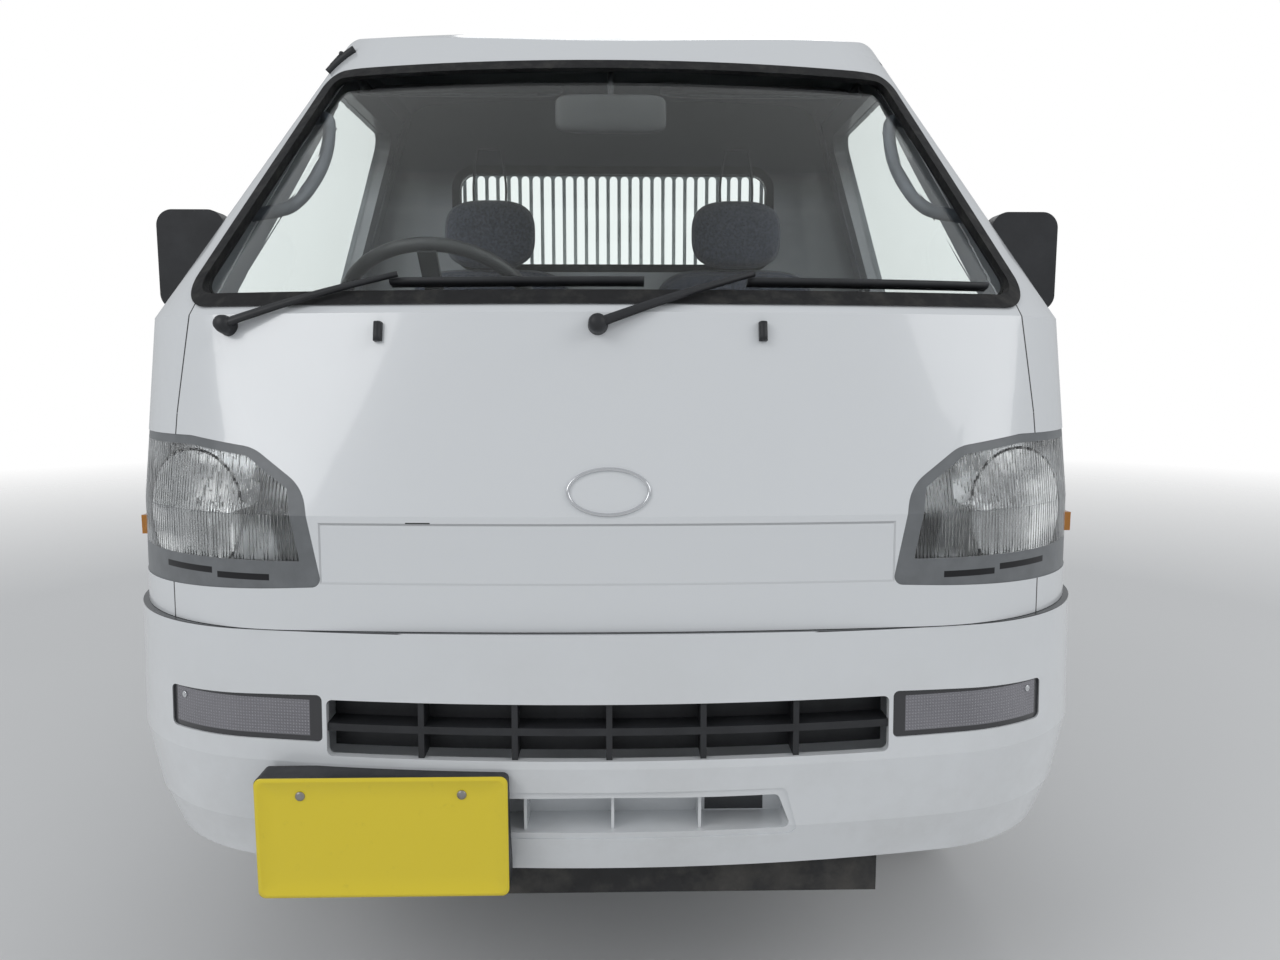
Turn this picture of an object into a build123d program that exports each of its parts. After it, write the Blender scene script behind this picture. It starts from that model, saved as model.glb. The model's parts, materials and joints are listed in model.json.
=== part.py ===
from build123d import *
import os
from math import asin, cos, pi, radians, sin, sqrt

# Kei truck: a two-seat cab over the front wheels and a flat bed with three drop gates.
# Millimetres. x is across with the vehicle's left at +x, y is the distance behind the front-most point
# while the pieces are made, z is the height above the ground. The last step moves the middle to y = 0.

# Overall sizes
length = 3395
body_half = 737
front_axle = 925
rear_overhang = 570
rear_axle_y = length - rear_overhang
track_front = 1305
track_rear = 1300

# Clearances
seat_gap = 0.3
swing_gap = 6
shaft_gap = 0.05

# Wheels
tyre_radius = 271
tyre_width = 145
rim_radius = 152
rim_width = 110
rim_wall = 6
rim_disc_offset = 30
hub_radius = 30
drum_radius = 110

# Cab
cab_bottom = 400
belt_height = 1118
screen_top = 1592
cab_back = 1380
side_wall = 40
front_wall = 30
back_wall = 30
roof_wall = 25
panel_seam = 610
cowl_seam = 585
bumper_top = 696
panel_gap = 0.6
side_seam_z = 1645
back_seam = 1345
back_foot = 602
glass_thick = 5

# Plan sections of the cab skin, from the bottom up
# columns: height, front at the centre, half width, radius of the bowed front, half width of the bow,
# run of the front face for each millimetre of wall
cab_sections = [
    (cab_bottom, 34, 730, 4500, 430, 1.0),
    (bumper_top, 34, body_half - 1, 4500, 430, 1.0),
    (850, 38, body_half - 2, 4500, 430, 1.0),
    (belt_height, 100, 718, 1900, 560, 1.3),
    (1800, 835, 515.6, 1900, 400, 1.4),
]

# Roof crown across the cab at stations from front to back
# columns: distance behind the front, height at the centre, half width of the shoulder foot
roof_stations = [
    (560, 1560, 590),
    (700, 1662, 578),
    (900, 1725, 560),
    (1150, 1745, 554),
    (1420, 1736, 556),
]
roof_crown = 15
roof_mass_foot = 1440
roof_shoulder = 85

# Doors
door_front = 405
door_rear = 1290
door_bottom = 440
door_top = 1640
door_rear_bottom = 540
door_rear_gap = 14
arch_height = 285
arch_radius = 325
arch_lip = 15
pillar_foot = (430, 1118)
pillar_head = (790, door_top)
window_foot = 1150
window_head = 1598
window_rear = 1238
mirror_reach = 850

# Windscreen opening in the front view
screen_foot = 1130
screen_foot_half = 632
screen_head_half = 530
seal_width = 20
seal_proud = 3
seal_depth = 22

# Rear window and guard behind it
rear_window_half = 415
rear_window_foot = 1284
rear_window_head = 1552
guard_slot_foot = 1298
guard_slot_head = 1537
guard_slot_pitch = 29
guard_slot_width = 20
guard_slots = 29

# Headlamp outline in the front view, right-hand half
lamp_depth = 330
lamp_points = [
    (380, 755),
    (406, 886),
    (480, 937),
    (580, 951),
    (760, 951),
    (760, 740),
]
lamp_radii = [12, 60, 60, 40, 0, 0]
lens_thick = 5
lamp_bowl = 29

# Bumper
bumper_bottom = 361
bumper_wall = 12
bumper_end = 392
# columns: height, front at the centre, half width, bow radius, bow half width
bumper_sections = [
    (bumper_bottom, 44, 702, 2600, 470),
    (425, 22, 722, 2600, 480),
    (517, 10, body_half, 2600, 490),
    (bumper_top, 20, body_half - 1, 2600, 490),
]
slot_foot = 528
slot_head = 604
slot_half = 378
grille_deep = 46
turn_lamp_inner = 384
turn_lamp_outer = 615
turn_lamp_foot = 546
turn_lamp_head = 610
turn_lamp_deep = 24
recess_half = 257
recess_head = 483
recess_foot = 412
recess_depth = 60

# Front number plate place
plate_centre_x = -298
plate_width = 330
plate_height = 165
plate_centre_z = 431
plate_carrier_deep = 40

# Bed
bed_front = 1432
deck_height = 660
deck_sheet = 20
gate_height = 285
gate_face = 726
gate_wall = 24
gate_overhang = 20
tail_wall = 25
hinge_out = 4
hinge_drop = 12
hinge_radius = 8
hinge_pin = 4
hinge_width = 40
bed_rear = length - hinge_out - hinge_radius - tail_wall - swing_gap
headboard_y = 1402
headboard_wall = 24
guard_top = 1780
guard_bar = 36

# Rear plate bolts and tow eye
plate_bolt_half = 105
plate_bolt_z = 475
plate_bolt_hole = 3.5
eye_hole = 16
eye_plate = 12
eye_z = 410

# Frame
rail_half = 380
rail_width = 50
rail_height = 90
rail_front_z = 300
rail_rear_z = 440
rail_front = 88
rail_rise = 1450
rail_rise_end = 1700
rail_end = length - 75

# Steering
column_x = -330
wheel_hub = (700, 1130)
steering_tilt = 45
steering_radius = 185
steering_tube = 13
kingpin_low = (600, 180)
kingpin_lean = 10


def slab(x0, x1, y0, y1, z0, z1):
    """Box between two corners."""
    return Pos((x0 + x1) / 2, (y0 + y1) / 2, (z0 + z1) / 2) * Box(x1 - x0, y1 - y0, z1 - z0)


def outline(points, radius=0):
    """Closed flat face from its corner points, all corners rounded alike or by a list."""
    if radius == 0:
        return make_face(Polyline(*points, close=True))
    return make_face(FilletPolyline(*points, radius=radius, close=True))


def across(face, x0, x1):
    """Side view face (y, z) carried across from x0 to x1."""
    return extrude(Pos(x0, 0, 0) * (Plane.YZ * face), amount=x1 - x0, dir=(1, 0, 0))


def along(face, y0, y1):
    """Front view face (x, z) carried back from y0 to y1."""
    return extrude(Pos(0, y0, 0) * (Plane.XZ * face), amount=y1 - y0, dir=(0, 1, 0))


def rod(start, end, radius):
    """Round bar between two points."""
    line = Vector(*end) - Vector(*start)
    return Plane(origin=start, z_dir=line) * Cylinder(
        radius, line.length, align=(Align.CENTER, Align.CENTER, Align.MIN)
    )


def other_side(shape):
    """The same piece on the other side of the vehicle."""
    return mirror(shape, about=Plane.YZ)


def both(shape):
    """A piece with its like on the other side."""
    return shape + other_side(shape)


def plan_section(height, front, half, bow_radius, bow_half, back):
    """Plan outline: a bowed front, tangent corner arcs, straight sides and a straight back."""
    turn = asin(bow_half / bow_radius)
    sag = bow_radius - sqrt(bow_radius**2 - bow_half**2)
    corner = (half - bow_half) / (1 - sin(turn))
    side_start = front + sag + corner * cos(turn)
    middle = (turn + pi / 2) / 2
    mid_x = half - corner + corner * sin(middle)
    mid_y = side_start - corner * cos(middle)
    edges = [
        ThreePointArc((-bow_half, front + sag), (0, front), (bow_half, front + sag)),
        ThreePointArc((bow_half, front + sag), (mid_x, mid_y), (half, side_start)),
        Line((half, side_start), (half, back)),
        Line((half, back), (-half, back)),
        Line((-half, back), (-half, side_start)),
        ThreePointArc((-half, side_start), (-mid_x, mid_y), (-bow_half, front + sag)),
    ]
    return Pos(0, 0, height) * make_face(Wire(edges))


def cab_form(front_in, side_in, back_in):
    """The cab's skin drawn in by a wall at the front, the sides and the back."""
    faces = []
    for height, front, half, bow_radius, bow_half, run in cab_sections:
        turn = bow_half / bow_radius
        faces.append(
            plan_section(
                height,
                front + front_in * run,
                half - side_in,
                bow_radius - front_in,
                bow_half - front_in * turn,
                cab_back - back_in,
            )
        )
    return loft(faces, ruled=True)


def roof_mass(wall):
    """Everything below the roof skin, drawn in by a wall: crowned sections lofted from front to back."""
    lean = 0.297
    faces = []
    for station, crown_z, foot_half in roof_stations:
        top = crown_z - wall
        shoulder_z = top - roof_crown
        foot_x = foot_half - wall + 1
        foot_z = shoulder_z - 0.716 * roof_shoulder
        head_x = foot_x - 0.9588 * roof_shoulder
        base_x = foot_x + 80
        base_z = roof_mass_foot
        edges = [
            Line((-base_x, base_z), (base_x, base_z)),
            Line((base_x, base_z), (foot_x, foot_z)),
            TangentArc((foot_x, foot_z), (head_x, shoulder_z), tangent=(-lean, 1)),
            ThreePointArc((head_x, shoulder_z), (0, top), (-head_x, shoulder_z)),
            TangentArc((-foot_x, foot_z), (-head_x, shoulder_z), tangent=(lean, 1)),
            Line((-foot_x, foot_z), (-base_x, base_z)),
        ]
        faces.append(Pos(0, station, 0) * (Plane.XZ * make_face(Wire(edges))))
    lower = slab(-900, 900, -100, 1500, 200, roof_mass_foot + 100)
    return loft(faces) + lower


def half_space(x_sign):
    """Everything on one side of the middle plane."""
    far = body_half + 300
    return slab(min(0, x_sign * far), max(0, x_sign * far), -300, length + 300, 0, 2200)


# Cab skin and its inside
cab_outer = cab_form(0, 0, 0) & roof_mass(0)
cab_inner = cab_form(front_wall, side_wall, back_wall) & roof_mass(roof_wall)
cab_inner = cab_inner + slab(-500, 500, 300, 1300, cab_bottom - 60, cab_bottom + 20)
cab_shell = cab_outer - cab_inner


def door_outline(gap, rear_gap):
    """Side view of a door, or of its opening when gaps are given."""
    arch = arch_radius + arch_lip + swing_gap - gap
    foot_z = door_bottom - gap
    arch_y = front_axle - sqrt(arch**2 - (foot_z - arch_height) ** 2)
    rear_z = door_rear_bottom - gap
    rear_y = front_axle + sqrt(arch**2 - (rear_z - arch_height) ** 2)
    lean_y = pillar_foot[0] - gap * 1.2
    edges = [
        Line((door_front - gap, foot_z), (arch_y, foot_z)),
        ThreePointArc((arch_y, foot_z), (front_axle, arch_height + arch), (rear_y, rear_z)),
        Line((rear_y, rear_z), (door_rear + rear_gap, rear_z)),
        Line((door_rear + rear_gap, rear_z), (door_rear + rear_gap, door_top + gap)),
        Line((door_rear + rear_gap, door_top + gap), (pillar_head[0] - gap * 0.6, door_top + gap)),
        Line((pillar_head[0] - gap * 0.6, door_top + gap), (lean_y, pillar_foot[1])),
        Line((lean_y, pillar_foot[1]), (door_front - gap, pillar_foot[1] - 30)),
        Line((door_front - gap, pillar_foot[1] - 30), (door_front - gap, foot_z)),
    ]
    return make_face(Wire(edges))


def window_outline(inset):
    """Side view of the door's window opening, drawn in by an inset."""
    slope = (pillar_head[0] - pillar_foot[0]) / (pillar_head[1] - pillar_foot[1])
    foot_y = pillar_foot[0] + 75 + slope * (window_foot - pillar_foot[1])
    head_y = pillar_foot[0] + 75 + slope * (window_head - pillar_foot[1])
    points = [
        (foot_y + inset * 1.6, window_foot + inset),
        (head_y + inset * 0.9, window_head - inset),
        (window_rear - inset, window_head - inset),
        (window_rear - inset, window_foot + inset),
    ]
    return outline(points, [20, 40, 40, 30])


door_cut = across(door_outline(swing_gap, door_rear_gap), 0, 900)
door_prism = across(door_outline(0, 0), 0, 900)
window_prism = across(window_outline(0), 0, 900)
arch_cut = Pos(0, front_axle, arch_height) * Rot(0, 90, 0) * Cylinder(arch_radius, 2000)


def screen_face(inset):
    """Front view of the windscreen opening, drawn in by an inset."""
    points = [
        (-screen_foot_half + inset * 1.2, screen_foot + inset),
        (screen_foot_half - inset * 1.2, screen_foot + inset),
        (screen_head_half - inset, screen_top - inset),
        (-screen_head_half + inset, screen_top - inset),
    ]
    return outline(points, 45 - inset)


screen_prism = along(screen_face(0), -60, 1000)
lamp_face = outline(lamp_points, lamp_radii)
lamp_prism = along(lamp_face, -60, lamp_depth)
lamp_cut = both(lamp_prism)

front_outline = [
    (-panel_seam, bumper_top + panel_gap),
    (panel_seam, bumper_top + panel_gap),
    (panel_seam, 980),
    (cowl_seam, belt_height + 200),
    (-cowl_seam, belt_height + 200),
    (-panel_seam, 980),
]
front_zone = along(outline(front_outline), -60, 420) & slab(-800, 800, -60, 420, 600, screen_foot + 20)
header_half = screen_head_half - 2
roof_zone = slab(-800, 800, 300, 1500, side_seam_z, 1900) + slab(
    -header_half, header_half, 300, 745, screen_top - 60, 1900
)
back_zone = slab(-800, 800, back_seam, 1500, back_foot, side_seam_z)
bumper_zone = slab(-800, 800, -60, bumper_end + 8, cab_bottom - 10, bumper_top + panel_gap)

side_panel = cab_shell & half_space(1)
under_cut = slab(0, body_half - side_wall, back_seam - 40, cab_back + 10, cab_bottom - 1, back_foot)
side_cutters = (
    front_zone,
    roof_zone,
    back_zone,
    bumper_zone,
    under_cut,
    door_cut,
    screen_prism,
    lamp_prism,
    arch_cut,
)
for cutter in side_cutters:
    side_panel = side_panel - cutter

front_panel = (cab_shell & front_zone) - lamp_cut - screen_prism
roof_panel = (cab_shell & roof_zone) - screen_prism


def rear_window_face(inset):
    """Front view of the rear window opening, drawn in by an inset."""
    half = rear_window_half - inset
    points = [
        (-half, rear_window_foot + inset),
        (half, rear_window_foot + inset),
        (half, rear_window_head - inset),
        (-half, rear_window_head - inset),
    ]
    return outline(points, 60 - inset)


back_panel = (cab_shell & back_zone) - along(rear_window_face(0), back_seam - 20, cab_back + 50)

door = (cab_shell & half_space(1) & door_prism) - window_prism
door_pin_x = body_half - 2
door_pin = 6
for hinge_z in (730, 870):
    pin_low = (door_pin_x, door_front, hinge_z - 25)
    pin_high = (door_pin_x, door_front, hinge_z + 25)
    pin_arm = slab(door_pin_x - door_pin, door_pin_x, door_front - 20, door_front, hinge_z - 25, hinge_z + 25)
    side_panel = side_panel + ((rod(pin_low, pin_high, door_pin) + pin_arm) & cab_form(seat_gap, seat_gap, 0))
    pocket_low = (door_pin_x, door_front, hinge_z - 25 - seat_gap)
    pocket_high = (door_pin_x, door_front, hinge_z + 25 + seat_gap)
    door = door - rod(pocket_low, pocket_high, door_pin + seat_gap)
glass_skin = cab_form(12 + glass_thick, 12 + glass_thick, 12 + glass_thick)
glass_zone = cab_form(12, 12, 12) - glass_skin
door_glass = glass_zone & half_space(1) & window_prism & slab(0, 900, 300, 1300, 1100, 1700)

screen_ring = along(screen_face(0), -60, 1000) - along(screen_face(seal_width), -60, 1000)
front_half = slab(-800, 800, -60, 900, 1000, 1700)
windscreen_seal = (
    (cab_form(-seal_proud, -seal_proud, 0) - cab_form(seal_depth, seal_depth, 0)) & screen_ring & front_half
)
windscreen = glass_zone & along(screen_face(seal_width), -60, 1000) & front_half

rear_glass_y = cab_back - 15
rear_window = along(rear_window_face(seal_width), rear_glass_y, rear_glass_y + glass_thick)
rear_window_seal = along(rear_window_face(0), cab_back - back_wall, cab_back + 4) - along(
    rear_window_face(seal_width), cab_back - back_wall - 1, cab_back + 5
)

lens_zone = cab_form(1, 1, 1) - cab_form(1 + lens_thick, 1 + lens_thick, 1)
lamp_lens = lens_zone & along(lamp_face, -60, lamp_depth)
bowl_zone = cab_form(1 + lens_thick, 1 + lens_thick, 1) - cab_form(lamp_bowl, lamp_bowl, 1)
lamp_body = bowl_zone & along(lamp_face, -60, lamp_depth)

repeater = slab(body_half - 6, body_half + 10, 325, 385, 780, 810) - cab_form(-seat_gap, -seat_gap, 0)


def bumper_form(wall, back):
    """The bumper's outer form drawn in by its wall."""
    faces = []
    for height, front, half, bow_radius, bow_half in bumper_sections:
        turn = bow_half / bow_radius
        faces.append(
            plan_section(
                height, front + wall, half - wall, bow_radius - wall, bow_half - wall * turn, back
            )
        )
    return loft(faces, ruled=True)


bumper = bumper_form(0, bumper_end) - bumper_form(bumper_wall, bumper_end + 10)
slot_face = outline(
    [(-slot_half, slot_foot), (slot_half, slot_foot), (slot_half, slot_head), (-slot_half, slot_head)], 8
)
turn_face = outline(
    [
        (turn_lamp_inner, turn_lamp_foot),
        (turn_lamp_outer, turn_lamp_foot),
        (turn_lamp_outer, turn_lamp_head - 6),
        (turn_lamp_inner, turn_lamp_head),
    ],
    8,
)
recess_face = outline(
    [
        (-recess_half, recess_foot),
        (recess_half, recess_foot),
        (recess_half - 20, recess_head),
        (-recess_half + 20, recess_head),
    ],
    10,
)
bumper = bumper - along(slot_face, -50, 200) - both(along(turn_face, -50, 300)) - along(recess_face, -50, 200)
recess_box = along(recess_face, 20, recess_depth + 40) - along(
    outline(
        [
            (-recess_half + 10, recess_foot + 10),
            (recess_half - 10, recess_foot + 10),
            (recess_half - 30, recess_head - 10),
            (-recess_half + 30, recess_head - 10),
        ],
        8,
    ),
    -50,
    recess_depth + 30,
)
bumper = bumper + (recess_box & bumper_form(2, bumper_end))

grille_gap = 0.3
grille_skin = bumper_form(4, bumper_end) - bumper_form(grille_deep, bumper_end)
grille_back = bumper_form(grille_deep - 5, bumper_end) - bumper_form(grille_deep, bumper_end)
grille_half = slot_half - grille_gap
grille_zone = slab(-grille_half, grille_half, 0, 200, slot_foot + grille_gap, slot_head - grille_gap)
bumper_grille = grille_back & grille_zone
bumper_grille = bumper_grille + (grille_skin & grille_zone & slab(-400, 400, 0, 200, 561, 571))
for bar_x in (-250, -125, 0, 125, 250):
    bumper_grille = bumper_grille + (grille_skin & grille_zone & slab(bar_x - 4, bar_x + 4, 0, 200, 500, 640))

turn_lamp = (
    (bumper_form(3, bumper_end) - bumper_form(3 + turn_lamp_deep, bumper_end)) & along(turn_face, -50, 300)
)

plate_carrier = along(
    outline(
        [
            (plate_centre_x - plate_width / 2, plate_centre_z - plate_height / 2),
            (plate_centre_x + plate_width / 2, plate_centre_z - plate_height / 2),
            (plate_centre_x + plate_width / 2, plate_centre_z + plate_height / 2),
            (plate_centre_x - plate_width / 2, plate_centre_z + plate_height / 2),
        ],
        8,
    ),
    0,
    plate_carrier_deep,
) - bumper_form(-seat_gap, bumper_end)


# Frame and running gear
def rail_strip():
    """Side view of a rail: low under the cab and raised over the rear axle."""
    low = rail_front_z
    high = rail_rear_z
    points = [
        (rail_front, low),
        (rail_rise, low),
        (rail_rise_end, high),
        (rail_end, high),
        (rail_end, high + rail_height),
        (rail_rise_end - 20, high + rail_height),
        (rail_rise - 20, low + rail_height),
        (rail_front, low + rail_height),
    ]
    return outline(points)


rail = across(rail_strip(), rail_half - rail_width, rail_half)
silencer_y = rail_end - 220
# columns: distance behind the front, width, foot height, head height
cross_members = [
    (rail_front + 25, 50, rail_front_z, rail_front_z + rail_height),
    (700, 50, rail_front_z, rail_front_z + 50),
    (1020, 50, rail_front_z, rail_front_z + 50),
    (1340, 50, rail_front_z, rail_front_z + 50),
    (1900, 50, rail_rear_z + 10, rail_rear_z + 70),
    (rear_axle_y - 375, 50, rail_rear_z + 10, rail_rear_z + 70),
    (silencer_y, 50, rail_rear_z + 10, rail_rear_z + 70),
    (rail_end - 30, 50, rail_rear_z, rail_rear_z + rail_height),
]
ladder_frame = both(rail)
for member_y, member_width, member_foot, member_head in cross_members:
    ladder_frame = ladder_frame + slab(
        -rail_half + rail_width,
        rail_half - rail_width,
        member_y - member_width / 2,
        member_y + member_width / 2,
        member_foot,
        member_head,
    )
# Outriggers that carry the bed deck and the cab
deck_under = deck_height - deck_sheet
deck_sills = (bed_front + 68, 1900, rear_axle_y - 375, rear_axle_y, bed_rear - 102)
for sill_y in deck_sills:
    foot = rail_front_z + rail_height if sill_y < rail_rise_end else rail_rear_z + rail_height - 5
    post = slab(rail_half - rail_width, rail_half, sill_y - 25, sill_y + 25, foot, deck_under - 40)
    beam = slab(-rail_half, rail_half, sill_y - 25, sill_y + 25, deck_under - 80, deck_under - 40)
    ladder_frame = ladder_frame + both(post) + beam

eye_x = rail_half - rail_width / 2
tow_eye_y = rail_end - 8
tow_eye = slab(
    eye_x - eye_plate / 2, eye_x + eye_plate / 2, tow_eye_y - 28, tow_eye_y + 28, eye_z - 28, rail_rear_z + 1
)
tow_eye = tow_eye - rod((eye_x - 20, tow_eye_y, eye_z), (eye_x + 20, tow_eye_y, eye_z), eye_hole)
ladder_frame = ladder_frame + tow_eye

engine_block = slab(-200, 200, 985, 1375, rail_front_z + 50 + seat_gap, 598)
engine_block = engine_block + slab(-120, 120, 1060, 1300, 230, rail_front_z + 60)
engine_block = engine_block + slab(-90, 90, 1370, 1560, 362, 500)

fuel_tank = fillet(slab(rail_half + seat_gap, 640, 1720, 2160, 330, 500).edges().filter_by(Axis.Y), 30)
silencer = Pos(0, silencer_y, 350) * Rot(0, 90, 0) * Cylinder(75, 420)
exhaust = silencer + rod((-180, 1376, 395), (-180, silencer_y - 40, 385), 22)
exhaust = exhaust + rod((180, silencer_y + 40, 350), (180, rail_end + 10, 350), 20)
for hanger_x in (-150, 150):
    exhaust = exhaust + slab(
        hanger_x - 10, hanger_x + 10, silencer_y - 10, silencer_y + 10, 400, rail_rear_z + 10 - seat_gap
    )

axle_z = tyre_radius
axle_tube = 40
diff_radius = 105
gearbox_end = 1560
shaft_front = (0, gearbox_end - 20, 420)
shaft_back = (0, rear_axle_y - diff_radius, axle_z + 14)
propeller_shaft = rod(shaft_front, shaft_back, 30) & slab(
    -100, 100, gearbox_end + seat_gap, rear_axle_y - diff_radius - 22 - seat_gap, 100, 600
)
rear_half = track_rear / 2
rear_axle = Pos(0, rear_axle_y, axle_z) * Rot(0, 90, 0) * Cylinder(axle_tube, 2 * rear_half - 190)
rear_axle = rear_axle + Pos(0, rear_axle_y, axle_z) * Sphere(diff_radius)
rear_axle = rear_axle + (
    rod((0, rear_axle_y - diff_radius - 40, axle_z + 20), (0, rear_axle_y, axle_z), 50)
    & slab(-100, 100, rear_axle_y - diff_radius - 22, rear_axle_y, 100, 600)
)
for side in (-1, 1):
    drum_x = side * (rear_half - 66)
    rear_axle = rear_axle + Pos(drum_x, rear_axle_y, axle_z) * Rot(0, 90, 0) * Cylinder(drum_radius, 60)
    rear_axle = rear_axle + rod(
        (side * (rear_half - 40), rear_axle_y, axle_z),
        (side * (rear_half + 42), rear_axle_y, axle_z),
        hub_radius - shaft_gap,
    )


def leaf(reach, sag, seat_z, thick):
    """One leaf of a spring in the side view: a bowed strip centred on the rear axle."""
    edges = [
        ThreePointArc(
            (rear_axle_y - reach, seat_z + sag), (rear_axle_y, seat_z), (rear_axle_y + reach, seat_z + sag)
        ),
        Line((rear_axle_y + reach, seat_z + sag), (rear_axle_y + reach, seat_z + sag + thick)),
        ThreePointArc(
            (rear_axle_y + reach, seat_z + sag + thick),
            (rear_axle_y, seat_z + thick),
            (rear_axle_y - reach, seat_z + sag + thick),
        ),
        Line((rear_axle_y - reach, seat_z + sag + thick), (rear_axle_y - reach, seat_z + sag)),
    ]
    return across(make_face(Wire(edges)), rail_half - rail_width, rail_half)


spring_seat = axle_z + axle_tube + seat_gap
leaf_springs = leaf(430, 62, spring_seat + 16, 8)
leaf_springs = leaf_springs + leaf(320, 34.3, spring_seat + 8, 8.2) + leaf(200, 13.4, spring_seat, 8.2)
for eye_y in (rear_axle_y - 430, rear_axle_y + 430):
    leaf_springs = leaf_springs + Pos(rail_half - rail_width / 2, eye_y, spring_seat + 86) * Rot(
        0, 90, 0
    ) * Cylinder(20, rail_width)
spring_head = spring_seat + 86 + 20
for hanger_y in (rear_axle_y - 430, rear_axle_y + 430):
    hanger = slab(
        rail_half - rail_width, rail_half, hanger_y - 15, hanger_y + 15, spring_head + seat_gap, rail_rear_z + 5
    )
    ladder_frame = ladder_frame + both(hanger)
leaf_springs = both(leaf_springs)

# Steered wheels: the kingpin axis leans in at the top
lean = radians(kingpin_lean)
pin_low = Vector(kingpin_low[0], front_axle, kingpin_low[1])
pin_way = Vector(-sin(lean), 0, cos(lean))


def on_pin(height):
    """The point of the kingpin axis at a height."""
    step = (height - kingpin_low[1]) / cos(lean)
    return pin_low + pin_way * step


strut_radius = 22
strut_foot = 330
front_half_track = track_front / 2
strut_cap = 52
strut_top = arch_height + sqrt(arch_radius**2 - strut_cap**2) - seat_gap
strut = rod(on_pin(strut_foot), on_pin(strut_top), strut_radius)
strut = strut + rod(on_pin(555), on_pin(strut_top + 20), strut_cap)
strut = strut & slab(0, 900, 600, 1300, 0, strut_top)
arm = across(
    outline([(front_axle - 25, 150), (front_axle + 25, 150), (front_axle + 25, 172), (front_axle - 25, 172)]),
    rail_half - rail_width,
    kingpin_low[0] + 20,
)
arm = arm + slab(
    rail_half - rail_width, rail_half, front_axle - 25, front_axle + 25, 150, rail_front_z - seat_gap
)
front_suspension = both(strut + arm)

knuckle = rod(on_pin(172 + seat_gap + 4), on_pin(strut_foot - seat_gap), 24)
knuckle = knuckle & slab(0, 900, 600, 1300, 172 + seat_gap, 400)
knuckle = knuckle + rod(
    (kingpin_low[0] - 30, front_axle, axle_z), (front_half_track - 20, front_axle, axle_z), 45
)
knuckle = knuckle + rod(
    (front_half_track - 30, front_axle, axle_z),
    (front_half_track + 42, front_axle, axle_z),
    hub_radius - shaft_gap,
)


def wheel_profile_rim():
    """Half section of a rim with its disc: (x outwards, radius)."""
    half = rim_width / 2
    points = [
        (-half, rim_radius + 12),
        (-half, rim_radius - 4),
        (-half + 18, rim_radius - 8),
        (-half + 40, rim_radius - 24),
        (half - 40, rim_radius - 24),
        (half - 18, rim_radius - 8),
        (half, rim_radius - 4),
        (half, rim_radius + 12),
        (half + rim_wall, rim_radius + 12),
        (half + rim_wall, rim_radius - 12),
        (half - 15, rim_radius - 16),
        (half - 28, rim_radius - 32),
        (rim_disc_offset + 12, rim_radius - 42),
        (rim_disc_offset - 6, rim_radius - 78),
        (rim_disc_offset, hub_radius),
        (rim_disc_offset - 8, hub_radius),
        (rim_disc_offset - 14, rim_radius - 78),
        (rim_disc_offset + 2, rim_radius - 38),
        (half - 46, rim_radius - 32),
        (-half + 36, rim_radius - 32),
        (-half + 12, rim_radius - 16),
        (-half - rim_wall, rim_radius - 12),
        (-half - rim_wall, rim_radius + 12),
    ]
    return outline(points)


def tyre_profile():
    """Half section of a tyre: bead, bowed side walls and a lightly crowned tread."""
    half = tyre_width / 2
    bead = rim_width / 2
    foot = rim_radius + 0.2
    shoulder = tyre_radius - 8
    edges = [
        Line((-bead + 0.3, foot), (bead - 0.3, foot)),
        Line((bead - 0.3, foot), (bead - 0.3, foot + 14)),
        ThreePointArc((bead - 0.3, foot + 14), (half, foot + 55), (half - 8, shoulder - 12)),
        ThreePointArc((half - 8, shoulder - 12), (half - 14, shoulder + 1), (half - 26, tyre_radius - 2)),
        ThreePointArc((half - 26, tyre_radius - 2), (0, tyre_radius), (-half + 26, tyre_radius - 2)),
        ThreePointArc((-half + 26, tyre_radius - 2), (-half + 14, shoulder + 1), (-half + 8, shoulder - 12)),
        ThreePointArc((-half + 8, shoulder - 12), (-half, foot + 55), (-bead + 0.3, foot + 14)),
        Line((-bead + 0.3, foot + 14), (-bead + 0.3, foot)),
    ]
    return make_face(Wire(edges))


rim = revolve(wheel_profile_rim(), axis=Axis.X)
tyre = revolve(tyre_profile(), axis=Axis.X)

# Cab floor with its wheelhouses and the plinth under the seats
floor_z = 480
floor_sheet = 25
plinth_z = 640
plinth_front = 850
floor_half = 684
house_reach = 689.5
house_inner = 425
toe_front = 112
floor_profile = [
    (toe_front, floor_z - floor_sheet),
    (plinth_front + floor_sheet, floor_z - floor_sheet),
    (plinth_front + floor_sheet, plinth_z - floor_sheet),
    (back_seam - 12, plinth_z - floor_sheet),
    (back_seam - 12, plinth_z),
    (plinth_front, plinth_z),
    (plinth_front, floor_z),
    (toe_front + floor_sheet, floor_z),
    (toe_front + floor_sheet, bumper_top + 60),
    (toe_front, bumper_top + 60),
]
inner_reach = cab_form(front_wall + seat_gap, side_wall + seat_gap, back_wall + seat_gap)


def arch_barrel(radius, x0, x1):
    """Round barrel about the front axle's arch, across from x0 to x1."""
    return Pos((x0 + x1) / 2, front_axle, arch_height) * Rot(0, 90, 0) * Cylinder(radius, x1 - x0)


house_sheet = 10
cab_floor = across(outline(floor_profile), -floor_half, floor_half)
house = arch_barrel(arch_radius + house_sheet, house_inner, house_reach)
house = house & slab(0, 900, 500, 1300, 380, plinth_z)
cab_floor = cab_floor + both(house) - both(arch_barrel(arch_radius, house_inner + house_sheet, floor_half + 20))
sill_step = slab(600, floor_half, 412, 585, door_bottom - swing_gap, floor_z - floor_sheet + 2)
sill_step = sill_step + slab(600, house_reach, 412, 585, cab_bottom + 5, door_bottom - swing_gap)
cab_floor = (cab_floor + both(sill_step)) & inner_reach

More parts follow.
